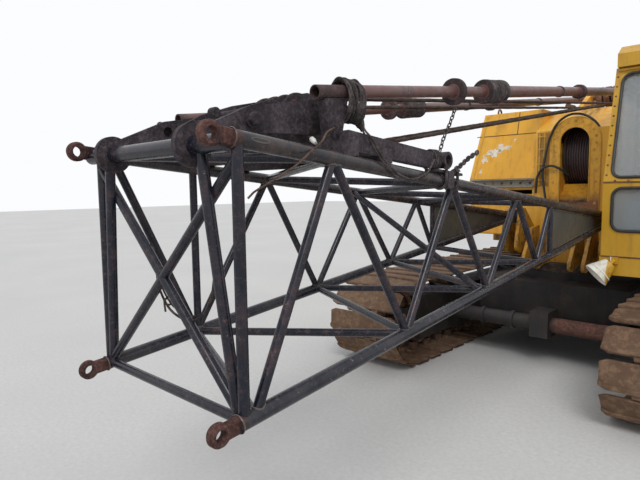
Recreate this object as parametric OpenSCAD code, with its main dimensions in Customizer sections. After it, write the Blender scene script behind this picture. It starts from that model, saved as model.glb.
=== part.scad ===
// Crawler crane parked with only the foot section of its lattice boom fitted.
// The crane faces -Y, its left side with the cab is +X, and +Z is up.
// Modules measure from the slewing axis on the ground; at_origin() then moves
// everything so that the origin is under the middle of the whole machine.

/* [Boom] */
// Distance forward from the slewing axis to the lugs at the boom's end
boom_reach = 5450; // [5200:10:5800]
// Distance forward from the slewing axis to the boom foot pins
foot_offset = 650; // [620:5:700]
// Height of the boom foot pins above the ground
foot_pin_z = 1450; // [1440:5:1500]
// Height of the boom at its lugs, between chord centres
section_h = 1000; // [940:5:1040]
// Width of the boom between chord centres
section_w = 1000; // [990:2:1010]
// Distance behind the foot pins at which the chord lines meet
chord_meet = 96; // [80:2:120]
// Diameter of the four chord tubes
chord_d = 62; // [58:1:66]
// Diameter of the lacing tubes
lacing_d = 40; // [34:1:44]
// Diameter of the posts of the end frame
post_d = 43; // [38:1:46]
// Distance from the lugs to the end frame
end_frame_y = 111; // [105:1:116]
// Outer diameter of a connecting lug
lug_d = 86; // [80:1:96]
// Bore of a connecting lug
lug_bore = 46; // [40:1:48]
// Width of a connecting lug across the boom
lug_w = 38; // [32:1:46]
// Diameter of the cross tube at the boom's end
roller_d = 66; // [60:1:70]
// Diameter of the bridle arms' round ends on that tube
arm_end_d = 156; // [140:2:164]
// Distance of each bridle arm from the boom's centre plane
arm_x = 300; // [280:5:320]
// Thickness of the side plates near the foot
foot_plate_t = 12; // [8:1:16]
// Outer diameter of the foot bosses
foot_boss_d = 150; // [140:2:160]
// Width of the foot bosses
foot_boss_w = 110; // [100:2:116]
// Diameter of the foot pins
foot_pin_d = 70; // [60:1:80]
// Upper limit of the luffing angle
boom_max_deg = 80; // [60:1:80]

/* [Bridle] */
// Distance from the lugs to the bridle's sheave shaft
bridle_shaft_y = 800; // [780:5:820]
// Height of the bridle's sheave shaft above the boom's centre line
bridle_shaft_z = 645; // [635:5:655]
// Diameter of the bridle's sheaves
bridle_sheave_d = 236; // [220:2:250]
// Number of the bridle's sheaves
bridle_sheaves_n = 4; // [3:1:5]
// Thickness of the bridle's plates
bridle_plate_t = 20; // [14:1:24]
// Half the width between the bridle's two sheave plates
bridle_half_w = 150; // [140:2:170]
// Distance of the backstop cradles from the boom's centre plane
cradle_x = 400; // [390:2:410]

/* [Backstops] */
// Distance behind the slewing axis of the gantry's head shaft
head_shaft_y = 1250; // [1200:10:1300]
// Distance of the gantry's front feet ahead of its head shaft
gantry_front = 560; // [480:10:640]
// Distance of the gantry's rear feet behind its head shaft
gantry_rear = 960; // [860:10:1040]
// Height of the gantry's head shaft above the roof
head_rise = 250; // [245:5:270]
// Diameter of the gantry's head shaft
head_shaft_d = 60; // [50:1:70]
// Outer diameter of the rear tube of a backstop
stop_tube_d = 76; // [72:1:80]
// Outer diameter of the front tube of a backstop
stop_rod_d = 60; // [56:1:64]
// Wall of both backstop tubes
stop_wall = 6; // [4:0.5:7]
// Distance from the head shaft to the open front end of a backstop
stop_reach = 6148; // [6100:2:6200]
// How much further forward the right backstop reaches
stop_extra = 142; // [100:2:160]
// Distance from the head shaft to the front end of the rear tube
stop_tube_len = 4636; // [4600:2:4700]
// Diameter of the stop collars
collar_d = 148; // [130:2:160]
// Travel of the front tube into the rear one
stop_stroke = 300; // [200:10:400]

/* [Tracks] */
// Length of the track loops over the shoes
track_len = 4980; // [4800:20:5100]
// Height of the track loops over the shoes
track_h = 870; // [840:5:880]
// Width of the track shoes
shoe_w = 800; // [700:10:840]
// Distance of the shoes' inner edges from the slewing axis
shoe_inner_x = 870; // [860:5:900]
// Number of shoes in one loop
shoes_n = 43; // [40:1:46]
// Thickness of the shoes
shoe_t = 50; // [40:1:56]
// Gap between two shoes
shoe_gap = 46; // [30:2:56]
// Depth of the guide lugs inside the loop
guide_t = 35; // [30:1:40]
// Width of the guide lugs
guide_w = 240; // [200:5:280]
// Width of the side frames
side_frame_w = 360; // [320:5:400]
// Diameter of the lower rollers
roller_low_d = 220; // [200:5:230]
// Diameter of the upper rollers
roller_top_d = 150; // [130:5:160]

/* [Undercarriage] */
// Width of the middle box of the car body
car_w = 1480; // [1400:10:1540]
// Length of the middle box of the car body
car_len = 2000; // [1900:20:2100]
// Height of the car body's underside above the ground
car_bottom = 360; // [340:5:400]
// Height of the car body's top above the ground
car_top = 790; // [770:5:800]
// Diameter of the slewing ring
ring_d = 1300; // [1200:10:1360]
// Diameter of the propel shaft housings
propel_d = 152; // [140:2:160]
// Distance forward from the slewing axis to the propel shafts
propel_y = 1130; // [1110:5:1150]
// Height of the propel shafts above the ground
propel_z = 400; // [390:5:420]

/* [Revolving frame] */
// Height of the revolving frame's underside above the ground
frame_bottom = 950; // [940:5:960]
// Height of the main deck above the ground
deck_z = 1200; // [1190:5:1210]
// Half the width of the deck
deck_half_w = 1280; // [1250:5:1300]
// Thickness of the deck plate
deck_t = 12; // [8:1:16]
// Distance behind the slewing axis of the frame's rear end
frame_rear = 2350; // [2300:10:2400]
// Thickness of the boom foot ears
ear_t = 35; // [30:1:40]
// Running gap between a foot boss and its ears
ear_gap = 5; // [5:0.5:8]
// Radius of the ears round the foot pins
ear_r = 95; // [85:1:105]

/* [House] */
// Width of the engine
engine_w = 840; // [760:10:900]
// Distance of the engine's front behind the slewing axis
engine_front = 1000; // [960:10:1060]
// Length of the engine
engine_len = 1100; // [1000:10:1200]
// Height of the engine
engine_h = 868; // [800:4:960]
// Distance of the exhaust to the left of the middle
exhaust_x = -700; // [-760:10:-640]
// Distance of the exhaust behind the slewing axis
exhaust_y = 1700; // [1600:10:1800]
// Height of the exhaust pipe above the roof
exhaust_h = 240; // [200:10:300]
// Height of the machinery house's roof above the ground
house_top = 2680; // [2660:5:2690]
// Height above which the house's side walls and front panels lean in
house_belt = 1870; // [1850:5:1890]
// How far the side walls lean in up to the roof
side_lean = 100; // [80:5:120]
// How far the front panels lean back up to the roof
front_lean = 200; // [180:5:240]
// Distance forward from the slewing axis to the house's front panels
house_front = 250; // [230:5:270]
// Thickness of the house's walls and doors
wall_t = 30; // [20:1:40]
// Height of the low front wall round the drum above the ground
low_front_z = 2400; // [2380:5:2420]
// Distance behind the slewing axis at which its sloping roof meets the main roof
low_roof_y = 350; // [330:5:380]
// Half the width of the drum opening in the arched guard
arch_half_w = 150; // [140:2:170]
// Distance of the drum guard's middle from the slewing axis, to the cab side
arch_x = -20; // [-40:2:20]
// Radius of the drum guard's outer arch
arch_r = 266; // [256:2:272]
// Tail radius of the counterweight
tail_r = 3150; // [3100:10:3200]
// Height of the counterweight's underside above the ground
weight_bottom = 1000; // [960:5:1040]
// Height of the counterweight's top above the ground
weight_top = 2050; // [1950:5:2150]

/* [Drum] */
// Diameter of the wound rope on the drum
rope_d = 670; // [640:5:690]
// Diameter of the drum's end discs
drum_disc_d = 740; // [720:5:750]
// Width of the drum between its end discs
drum_w = 270; // [250:5:276]
// Height of the drum's shaft above the ground
drum_z = 2120; // [2100:5:2140]
// Distance behind the slewing axis of the drum's shaft
drum_y = 215; // [215:5:240]

/* [Cab] */
// Distance from the slewing axis to the cab's inner side
cab_inner_x = 605; // [603:1:630]
// Width of the cab
cab_w = 895; // [850:5:920]
// Length of the cab along its floor
cab_len = 1150; // [1100:5:1200]
// Distance forward from the slewing axis to the cab's front
cab_front = 1500; // [1480:5:1520]
// Height of the cab's floor frame above the ground
cab_bottom = 1010; // [1000:5:1030]
// Height of the cab's base line above the ground
cab_base = 1170; // [1150:5:1190]
// Height at which the windscreen starts to lean back
cab_belt = 1800; // [1780:5:1820]
// Height of the cab's roof above the ground
cab_roof_z = 2790; // [2770:5:2810]
// How far the windscreen leans back over its height
cab_rake = 285; // [250:5:320]
// Thickness of the cab's walls and door
cab_t = 40; // [30:1:50]
// Thickness of the glass
glass_t = 6; // [4:1:8]
// Corner radius of the windows
window_r = 75; // [50:1:90]
// Height of the raised roof cap
cap_h = 190; // [170:5:210]
// Width of the cab's door
door_w = 640; // [600:5:680]

/* [Hidden] */
$fn = 48;

// Flat faces that rest on each other share a plane; a cut runs past a face by this much.
past = 2;
// Radial running clearance of a pin in its bore
pin_fit = 0.05;
// Gap between a turning piece and what carries it
turn_gap = 0.3;

butt_len = boom_reach - foot_offset;
lug_front = boom_reach + lug_d / 2;
mid_y = (tail_r - lug_front) / 2;
head_shaft_z = house_top + head_rise;
half_w = section_w / 2;
meet_y = butt_len + chord_meet;
chord_end = butt_len - 236;

// Half the height between chord centres at a distance from the lugs
function half_h(y) = section_h / 2 * (1 - y / meet_y);

// Lacing stations from the lugs to the foot. Even ones lie on the left lower and right
// upper chords, odd ones on the left upper and right lower chords.
stations = [162, 591, 1121, 1551, 1992, 2399, 2771, 3023];
last_station = len(stations) - 1;
left = 1;
right = -1;

black_steel = "#3b3d42";
worn_yellow = "#d9a92c";
rust = "#6d4a3a";
track_brown = "#8a705c";
grey_olive = "#6f6f63";
glass_blue = "#8aa0a8";

module at_origin() translate([0, -mid_y, 0]) children();
module on_boom() translate([0, -boom_reach, foot_pin_z]) children();

// A round bar from one point to another
module bar(p, q, d) {
    v = q - p;
    length = norm(v);
    translate(p)
        rotate([0, acos(v.z / length), atan2(v.y, v.x)])
            cylinder(h = length, d = d);
}

// A cylinder along X, centred on x
module disc_x(x, y, z, d, w) {
    translate([x - w / 2, y, z]) rotate([0, 90, 0]) cylinder(h = w, d = d);
}

// A box between two corners
module block(low, high) translate(low) cube(high - low);

// A flat outline in Y and Z, given as [y, z] points, as thick as w and centred on x
module plate_yz(x, w) {
    translate([x - w / 2, 0, 0]) rotate([90, 0, 90]) linear_extrude(w) children();
}

// A rectangle with round corners, made of squares and circles
module round_rect(low, high, r) {
    translate([low.x + r, low.y]) square([high.x - low.x - 2 * r, high.y - low.y]);
    translate([low.x, low.y + r]) square([high.x - low.x, high.y - low.y - 2 * r]);
    for (x = [low.x + r, high.x - r], y = [low.y + r, high.y - r]) translate([x, y]) circle(r);
}

// The four corners between two circles' outer tangents
function tangents(a, ra, b, rb) =
    let (d = b - a, u = d / norm(d), n = [-u.y, u.x], s = (ra - rb) / norm(d), c = sqrt(1 - s * s))
    [a + ra * (s * u + c * n), b + rb * (s * u + c * n),
     b + rb * (s * u - c * n), a + ra * (s * u - c * n)];
// A flat link with round ends
module link(a, ra, b, rb) {
    polygon(tangents(a, ra - 0.5, b, rb - 0.5));
    translate(a) circle(ra);
    translate(b) circle(rb);
}

// Undercarriage

loop_r = track_h / 2;
wheel_y = track_len / 2 - loop_r;
track_x = shoe_inner_x + shoe_w / 2;
wheel_r = loop_r - shoe_t - guide_t;
run_len = 2 * wheel_y;
pitch_r = loop_r - shoe_t;
loop_len = 2 * run_len + 2 * PI * pitch_r;
shoe_pitch = loop_len / shoes_n;

// A point of the loop at distance s along its pitch line and t outside it
function loop_point(s, t) =
    let (s = s % loop_len, arc = PI * pitch_r, r = pitch_r + t)
    s < run_len ? [s - wheel_y, loop_r - r]
    : s < run_len + arc ?
        let (a = (s - run_len) / pitch_r * 180 / PI)
        [wheel_y + r * sin(a), loop_r - r * cos(a)]
    : s < 2 * run_len + arc ? [wheel_y - (s - run_len - arc), loop_r + r]
    : let (a = (s - 2 * run_len - arc) / pitch_r * 180 / PI)
        [-wheel_y - r * sin(a), loop_r + r * cos(a)];

// Shoes stand out of the belt, each as long as the pitch less the gap
module shoe_outline() {
    half = (shoe_pitch - shoe_gap) / 2;
    root = 0.35 * shoe_t;
    polygon([for (i = [0 : shoes_n - 1]) let (s = (i + 0.5) * shoe_pitch)
        each [loop_point(s - half, root), loop_point(s - half, shoe_t),
              loop_point(s + half, shoe_t), loop_point(s + half, root)]]);
}

module stadium(r) {
    translate([-wheel_y, loop_r - r]) square([2 * wheel_y, 2 * r]);
    for (y = [-wheel_y, wheel_y]) translate([y, loop_r]) circle(r, $fn = 64);
}

module track(side) {
    color(track_brown) at_origin() {
        plate_yz(side * track_x, shoe_w) difference() {
            shoe_outline();
            stadium(pitch_r - 1);
        }
        plate_yz(side * track_x, guide_w) difference() {
            stadium(pitch_r - 0.5);
            stadium(wheel_r + turn_gap);
        }
    }
}
module track_left() track(left);
module track_right() track(right);

module wheels_x() for (side = [left, right]) translate([side * track_x, 0, 0]) children();

rim_w = guide_w - 20;
module sprockets() {
    color(rust) at_origin() wheels_x() {
        difference() {
            disc_x(0, -wheel_y, loop_r, 2 * wheel_r, rim_w);
            for (face = [-1, 1])
                disc_x(face * rim_w / 2, -wheel_y, loop_r, 2 * wheel_r - 120, 90);
            for (a = [0 : 60 : 300])
                translate([0, -wheel_y, loop_r]) rotate([a, 0, 0])
                    disc_x(0, 190, 0, 90, rim_w);
        }
        disc_x(0, -wheel_y, loop_r, 150, side_frame_w + 60);
    }
}
module idlers() {
    color(rust) at_origin() wheels_x() {
        difference() {
            disc_x(0, wheel_y, loop_r, 2 * wheel_r, rim_w);
            for (face = [-1, 1])
                disc_x(face * rim_w / 2, wheel_y, loop_r, 2 * wheel_r - 100, 100);
        }
        disc_x(0, wheel_y, loop_r, 130, side_frame_w + 60);
    }
}

roller_low_z = loop_r - wheel_r + roller_low_d / 2;
roller_top_z = loop_r + wheel_r - roller_top_d / 2;
frame_low = roller_low_z + 20;
frame_high = roller_top_z - roller_top_d / 2 - 12;
roller_top_ys = [-0.45 * wheel_y, 0.45 * wheel_y];
roller_pin_d = 50;
low_rollers_n = 9;
low_span = 2 * (wheel_y - wheel_r - roller_low_d / 2 - 40);
module track_rollers() {
    color(rust) at_origin() wheels_x() {
        for (i = [0 : low_rollers_n - 1])
            disc_x(0, -low_span / 2 + i * low_span / (low_rollers_n - 1), roller_low_z,
                roller_low_d, rim_w);
        for (y = roller_top_ys) {
            disc_x(0, y, roller_top_z, roller_top_d, rim_w);
            disc_x(0, y, roller_top_z, roller_pin_d, rim_w + 60);
        }
    }
}

// A box beam with open slots for the rollers and yokes round the end wheels
module side_frames() {
    color(black_steel) at_origin() wheels_x() {
        cheek = (side_frame_w - rim_w) / 2 - 10;
        box_y = wheel_y - wheel_r - 20;
        difference() {
            block([-side_frame_w / 2, -box_y, frame_low], [side_frame_w / 2, box_y, frame_high]);
            block([-rim_w / 2 - 10, -box_y - past, frame_low - past],
                  [rim_w / 2 + 10, box_y + past, roller_low_z + roller_low_d / 2 + 10]);
        }
        // Brackets that hold the upper rollers
        for (face = [-1, 1], y = roller_top_ys) difference() {
            block([face * (rim_w / 2 + 20) - 10, y - 50, frame_high - 1],
                  [face * (rim_w / 2 + 20) + 10, y + 50, roller_top_z + 30]);
            disc_x(face * (rim_w / 2 + 20), y, roller_top_z, roller_pin_d, 40);
        }
        for (face = [-1, 1])
            translate([face * (side_frame_w / 2 - cheek / 2), 0, 0])
                difference() {
                    plate_yz(0, cheek) {
                        translate([-wheel_y, loop_r - 110]) square([2 * wheel_y, 220]);
                        for (y = [-wheel_y, wheel_y]) translate([y, loop_r]) circle(130);
                        translate([-box_y, roller_low_z - 40]) square([2 * box_y, 100]);
                    }
                    disc_x(0, -wheel_y, loop_r, 150 + 2 * turn_gap, 2 * cheek);
                    disc_x(0, wheel_y, loop_r, 130 + 2 * turn_gap, 2 * cheek);
                    block([-cheek, -box_y + past, frame_low + past],
                          [cheek, box_y - past, frame_high - past]);
                }
    }
}

frame_inner_x = track_x - side_frame_w / 2;
axle_y = 760;
axle_w = 300;
module car_body() {
    color(black_steel) at_origin() {
        difference() {
            block([-car_w / 2, -car_len / 2, car_bottom], [car_w / 2, car_len / 2, car_top]);
            translate([0, 0, car_bottom - past]) cylinder(h = 260, d = 700);
        }
        for (y = [-axle_y, axle_y])
            for (side = [left, right])
                block([min(side * car_w / 2, side * frame_inner_x), y - axle_w / 2, frame_low + 60],
                      [max(side * car_w / 2, side * frame_inner_x), y + axle_w / 2, frame_high]);
        translate([0, 0, car_top]) cylinder(h = frame_bottom - car_top - 90, d = ring_d + 80);
    }
}
module slewing_ring() {
    color(rust) at_origin() translate([0, 0, frame_bottom - 90]) difference() {
        cylinder(h = 90 - turn_gap, d = ring_d, $fn = 96);
        translate([0, 0, -past]) cylinder(h = 90 + 2 * past, d = ring_d - 220, $fn = 96);
    }
}
module propel_shafts() {
    color(rust) at_origin() {
        for (side = [left, right])
            disc_x(side * (frame_inner_x + 90) / 2, -propel_y, propel_z, propel_d,
                frame_inner_x - 90);
        block([-90, -propel_y - 120, propel_z - 120], [90, -car_len / 2, propel_z + 140]);
    }
}

// Hinges: leaves on the outer faces, with a pin standing in two barrels

hinge_d = 24;
hinge_pin_d = 12;
hinge_len = 70;
hinge_leaf = 60;
leaf_t = 5;
hinge_out = hinge_d / 2;
// The half with the pin belongs to the wall, the half with the bore to the door. A leaf
// reaches from the hinge line in Y by reach, and face_x is the outer face's X.
module hinge_half(face_x, y, z, reach, is_door) {
    out = sign(face_x);
    x = face_x + out * hinge_out;
    low = is_door ? z + 1 : z - hinge_len;
    difference() {
        union() {
            translate([x, y, low]) cylinder(h = hinge_len, d = hinge_d);
            block([min(face_x, face_x + out * leaf_t), min(y, y + reach), low],
                  [max(face_x, face_x + out * leaf_t), max(y, y + reach), low + hinge_len]);
        }
        if (is_door)
            translate([x, y, low - past])
                cylinder(h = hinge_len + 2 * past, d = hinge_pin_d + 2 * pin_fit);
    }
    if (!is_door) translate([x, y, z - 1]) cylinder(h = hinge_len + 10, d = hinge_pin_d);
}
module hinge_pair(face_x, y, z0, z1, reach, is_door)
    for (z = [z0 + 180, z1 - 180]) hinge_half(face_x, y, z, reach, is_door);

// Revolving frame and its load

ear_inner_x = half_w - foot_boss_w / 2 - ear_gap - ear_t / 2;
ear_outer_x = half_w + foot_boss_w / 2 + ear_gap + ear_t / 2;
nose_x = [170, 300];
nose_r = 62;
module ear_outline() {
    rear = -house_front - 10;
    low = [-foot_offset - 95, frame_bottom + 190];
    tan_pts = tangents(low, 78, [-foot_offset, foot_pin_z], ear_r);
    translate(low) circle(78);
    polygon([[low.x, low.y - 77], [rear, frame_bottom + 30], [rear, deck_z + 60],
             [-foot_offset + ear_r * 0.8, foot_pin_z + ear_r * 0.6],
             [-foot_offset, foot_pin_z], tan_pts[1], tan_pts[0], low]);
    translate([-foot_offset, foot_pin_z]) circle(ear_r);
}
// Rib of the frame's nose, round at its lower front
module nose_outline() {
    tip = [-foot_offset - 230, frame_bottom + 25];
    translate(tip) circle(nose_r);
    polygon([[tip.x, tip.y - nose_r + 1], [tip.x + 170, frame_bottom],
             [-foot_offset + 140, frame_bottom],
             [-foot_offset + 140, deck_z + 150], [-foot_offset - 60, deck_z + 130],
             [tip.x - nose_r + 4, tip.y + 22], tip]);
}
module revolving_frame() {
    color(worn_yellow) at_origin() {
        difference() {
            union() {
                block([-470, -foot_offset + 130, frame_bottom], [470, frame_rear, deck_z]);
                for (side = [left, right]) {
                    for (x = [ear_inner_x, ear_outer_x]) plate_yz(side * x, ear_t) ear_outline();
                    block([min(side * 470, side * (deck_half_w - 40)), 400, deck_z - 140],
                          [max(side * 470, side * (deck_half_w - 40)), 520, deck_z]);
                    block([min(side * 470, side * (deck_half_w - 40)), frame_rear - 160,
                           deck_z - 140],
                          [max(side * 470, side * (deck_half_w - 40)), frame_rear - 40, deck_z]);
                    for (x = nose_x) plate_yz(side * x, ear_t) nose_outline();
                    // Tie between the two ears of a side
                    block([min(side * ear_inner_x, side * ear_outer_x), -420, frame_bottom + 60],
                          [max(side * ear_inner_x, side * ear_outer_x), -300, deck_z - 30]);
                }
            }
            for (side = [left, right])
                disc_x(side * half_w, -foot_offset, foot_pin_z, foot_pin_d + 2 * pin_fit, 400);
            translate([0, 0, frame_bottom - past])
                cylinder(h = deck_z - frame_bottom - 30, d = ring_d - 500);
        }
        block([-deck_half_w, -house_front, deck_z], [deck_half_w, frame_rear, deck_z + deck_t]);
    }
}
module boom_foot_pins() {
    color(rust) at_origin() for (side = [left, right]) {
        pin_w = foot_boss_w + 2 * (ear_gap + ear_t) - past;
        disc_x(side * half_w, -foot_offset, foot_pin_z, foot_pin_d, pin_w);
    }
}
module counterweight() {
    color(worn_yellow) at_origin() intersection() {
        block([-deck_half_w - 20, frame_rear, weight_bottom],
              [deck_half_w + 20, tail_r, weight_top]);
        cylinder(h = weight_top + 1, r = tail_r, $fn = 128);
    }
}

house_x = deck_half_w - 15;
door_gap = 8;
house_doors = [[-1, -40, 1020], [-1, 1060, 2260]]; // side, front y, rear y
left_door = [1, 300, 1500]; // side, front y, rear y
door_low = deck_z + 70;
door_high = house_top - 150;
floor_z = deck_z + deck_t;
// The low middle part between the right and left parts
low_x0 = arch_x - arch_r - 160;
low_x1 = cab_inner_x - 10;
drum_bay_rear = drum_y + drum_disc_d / 2 + 60;
hood_end = drum_y - 170;

// Outlines of the house, moved in by t: across it, and along it for the side parts
module house_across(t) {
    polygon([[-house_x + t, floor_z], [-house_x + t, house_belt],
             [-house_x + side_lean + t, house_top - t], [house_x - side_lean - t, house_top - t],
             [house_x - t, house_belt], [house_x - t, floor_z]]);
}
module house_along(t) {
    polygon([[-house_front + t, floor_z], [-house_front + t, house_belt],
             [-house_front + front_lean + t, house_top - t], [frame_rear - t, house_top - t],
             [frame_rear - t, floor_z]]);
}
module low_along(t) {
    polygon([[-house_front + t, floor_z], [-house_front + t, low_front_z - t / 2],
             [low_roof_y + t / 3, house_top - t], [frame_rear - t, house_top - t],
             [frame_rear - t, floor_z]]);
}
module side_part(x0, x1, t) intersection() {
    translate([0, frame_rear, 0]) rotate([90, 0, 0])
        linear_extrude(frame_rear + house_front) house_across(t);
    plate_yz((x0 + x1) / 2, x1 - x0) house_along(t);
}
module low_part(x0, x1, t) plate_yz((x0 + x1) / 2, x1 - x0) low_along(t);
module door_zone(d, grow) {
    x0 = d[0] > 0 ? house_x - side_lean - wall_t - 20 : -house_x - past;
    block([x0, d[1] - grow, door_low - grow],
          [x0 + side_lean + wall_t + 20 + past, d[2] + grow, door_high + grow]);
}
// Narrow seams between the panels that the house is bolted together from
seam = 0.4;
seam_zs = [house_belt, house_top - wall_t - 6];
seam_ys = [-10, frame_rear - wall_t - 16];
module house_seams() {
    reach = 3 * house_x;
    for (z = seam_zs) block([-reach, -reach, z], [reach, reach, z + seam]);
    for (y = seam_ys) block([-reach, y, 0], [reach, y + seam, 2 * house_top]);
    for (side = [left, right]) {
        low_x = side * (house_x - wall_t - 10);
        high_x = side * (house_x - side_lean - wall_t - 15);
        block([low_x, -reach, 0], [low_x + seam, reach, seam_zs[0] + seam / 2]);
        block([high_x, -reach, seam_zs[0] + seam / 2], [high_x + seam, reach, seam_zs[1]]);
    }
    for (x = [low_x0 - wall_t - 5, low_x1 + wall_t + 5])
        block([x, -reach, 0], [x + seam, seam_ys[0] + seam / 2, seam_zs[1] + seam / 2]);
}
module house_shell() {
    color(worn_yellow) at_origin() {
        difference() {
            union() {
                side_part(-house_x, low_x0, 0);
                side_part(low_x1, house_x, 0);
                low_part(low_x0 - 1, low_x1 + 1, 0);
            }
            side_part(-house_x, low_x0 - wall_t, wall_t);
            side_part(low_x1 + wall_t, house_x, wall_t);
            low_part(low_x0, low_x1, wall_t);
            // One engine room behind the drum bay, and no floor of its own
            block([low_x0 - wall_t - past, drum_bay_rear, floor_z - 2 * past],
                  [low_x1 + wall_t + past, frame_rear - wall_t, house_top - wall_t]);
            block([-house_x + wall_t, -house_front + wall_t, floor_z - 2 * past],
                  [house_x - wall_t, frame_rear - wall_t, floor_z + past]);
            // Opening for the drum's guard, which stands out of the sloping roof
            translate([0, hood_end, 0]) rotate([90, 0, 0])
                linear_extrude(hood_end + house_front + past) arch_outline(arch_r, floor_z - past);
            for (d = [house_doors[0], house_doors[1], left_door]) door_zone(d, door_gap);
            house_seams();
            // The right front is open below its channel, where the tool box stands
            block([-house_x - past, -house_front - past, floor_z - past],
                  [low_x0 - wall_t, -house_front + wall_t + past, house_belt - 130]);
        }
        hinge_pair(-house_x, house_doors[0][1] - door_gap / 2, door_low, house_belt, -hinge_leaf, false);
        hinge_pair(-house_x, house_doors[1][2] + door_gap / 2, door_low, house_belt, hinge_leaf, false);
        hinge_pair(house_x, left_door[2] + door_gap / 2, door_low, house_belt, hinge_leaf, false);
        // Tool box under the front panel
        block([-house_x + wall_t + 5, -house_front + 40, floor_z],
              [low_x0 - wall_t - 5, -60, house_belt - 180]);
    }
}
arch_z = low_front_z + 130 - arch_r;
module arch_outline(r, low) {
    translate([arch_x - r, low]) square([2 * r, arch_z - low]);
    translate([arch_x, arch_z]) circle(r);
}
cheek_t = 20;
module drum_guard() {
    hood_t = 10;
    head_seam_deg = 30.3;
    cheek_x = drum_w / 2 + 24 + 12 + cheek_t / 2;
    front = -house_front - 12;
    hood_rear = low_roof_y;
    color(worn_yellow) at_origin() {
        // Bolted flange round the drum opening: a sill, two jambs and a head with fine seams
        difference() {
            translate([0, front + 12, 0]) rotate([90, 0, 0])
                linear_extrude(12) arch_outline(arch_r, floor_z);
            translate([0, front + 12 + past, 0]) rotate([90, 0, 0])
                linear_extrude(12 + 2 * past) arch_outline(arch_half_w, drum_z - 520);
            block([arch_x - arch_r - past, front - past, drum_z - 520 - seam],
                  [arch_x + arch_r + past, front + 12 + past, drum_z - 520]);
            for (lean = [-head_seam_deg, 180 + head_seam_deg])
                translate([arch_x, 0, arch_z]) rotate([0, lean, 0])
                    block([arch_half_w - 20, front - past, -seam / 2],
                          [arch_r + 20, front + 12 + past, seam / 2]);
        }
        // Hood behind the flange
        difference() {
            translate([0, hood_rear, 0]) rotate([90, 0, 0])
                linear_extrude(hood_rear - front - 12 - seam) arch_outline(arch_r - 1, floor_z);
            translate([0, hood_rear + past, 0]) rotate([90, 0, 0])
                linear_extrude(hood_rear - front - 12 + 2 * past)
                    arch_outline(arch_r - 1 - hood_t, floor_z - past);
            block([arch_x - arch_r, hood_end, arch_z + 60],
                  [arch_x + arch_r, hood_rear + past, arch_z + arch_r + past]);
        }
        // Cheeks that carry the drum's shaft
        for (side = [left, right])
            difference() {
                block([arch_x + side * cheek_x - cheek_t / 2, -house_front + 40, floor_z],
                      [arch_x + side * cheek_x + cheek_t / 2, drum_y + 330, drum_z + 140]);
                disc_x(arch_x + side * cheek_x, drum_y, drum_z, 90 + 2 * pin_fit, 60);
            }
        // Sloping plate under the drum
        plate_yz(arch_x, 2 * (cheek_x - cheek_t / 2))
            polygon([[-house_front + 40, drum_z - 500], [-house_front + 40, drum_z - 520],
                     [drum_y - 230, drum_z - 340], [drum_y - 230, drum_z - 320]]);
    }
}
module main_drum() {
    color("#33291f") at_origin() {
        disc_x(arch_x, drum_y, drum_z, rope_d, drum_w);
        for (face = [-1, 1])
            disc_x(arch_x + face * (drum_w / 2 + 12), drum_y, drum_z, drum_disc_d, 24);
        disc_x(arch_x, drum_y, drum_z, 90, drum_w + 48 + 24 + 2 * cheek_t);
    }
}

module side_door(d, hinged_at_rear) {
    color(worn_yellow) at_origin() {
        intersection() {
            difference() {
                side_part(-house_x, house_x, 0);
                side_part(-house_x, house_x, wall_t);
            }
            door_zone(d, 0);
        }
        hinge_pair(d[0] * house_x, hinged_at_rear ? d[2] + door_gap / 2 : d[1] - door_gap / 2,
            door_low, house_belt, hinged_at_rear ? -hinge_leaf : hinge_leaf, true);
    }
}
module house_door_front() side_door(house_doors[0], false);
module house_door_rear() side_door(house_doors[1], true);
module house_door_left() side_door(left_door, true);

module engine_block() {
    color("#4a4c48") at_origin()
        block([-engine_w / 2, engine_front, deck_z + deck_t],
              [engine_w / 2, engine_front + engine_len, deck_z + deck_t + engine_h]);
}

gantry_x = 300;
module gantry() {
    color(worn_yellow) at_origin() for (side = [left, right]) {
        x = side * gantry_x;
        difference() {
            union() {
                plate_yz(x, 60) {
                    polygon([[head_shaft_y - gantry_front - 60, house_top],
                             [head_shaft_y - gantry_front + 60, house_top],
                             [head_shaft_y + 60, head_shaft_z - 30],
                             [head_shaft_y - 60, head_shaft_z + 60]]);
                    polygon([[head_shaft_y + gantry_rear - 60, house_top],
                             [head_shaft_y + gantry_rear + 60, house_top],
                             [head_shaft_y + 60, head_shaft_z + 60],
                             [head_shaft_y - 40, head_shaft_z - 60]]);
                    translate([head_shaft_y, head_shaft_z]) circle(95);
                }
                for (y = [head_shaft_y - gantry_front, head_shaft_y + gantry_rear])
                    block([x - 60, y - 90, house_top], [x + 60, y + 90, house_top + 20]);
            }
            disc_x(x, head_shaft_y, head_shaft_z, head_shaft_d, 90);
        }
    }
}
stop_eye_w = 50;
module gantry_head() {
    color(rust) at_origin() {
        disc_x(0, head_shaft_y, head_shaft_z, head_shaft_d, 2 * (cradle_x + stop_eye_w));
        for (i = [-2 : 2])
            disc_x(i * 90, head_shaft_y, head_shaft_z, 260, 60);
    }
}
module exhaust() {
    color(rust) at_origin() {
        translate([exhaust_x, exhaust_y, house_top]) cylinder(h = exhaust_h, d = 90);
        translate([exhaust_x, exhaust_y - 150, house_top + exhaust_h]) rotate([-90, 0, 0])
            cylinder(h = 300, d = 60);
    }
}

// Cab

cab_outer_x = cab_inner_x + cab_w;
cab_rear = -cab_front + cab_len;
door_front = -cab_front + 170;
door_rear = door_front + door_w;
door_bottom_z = cab_base + 50;
door_top_z = cab_roof_z - 130;
module cab_profile(inset) {
    polygon([[-cab_front + inset, cab_base + inset], [-cab_front + inset, cab_belt],
             [-cab_front + cab_rake + inset, cab_roof_z - inset],
             [cab_rear - inset, cab_roof_z - inset], [cab_rear - inset, cab_base + inset]]);
}
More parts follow.
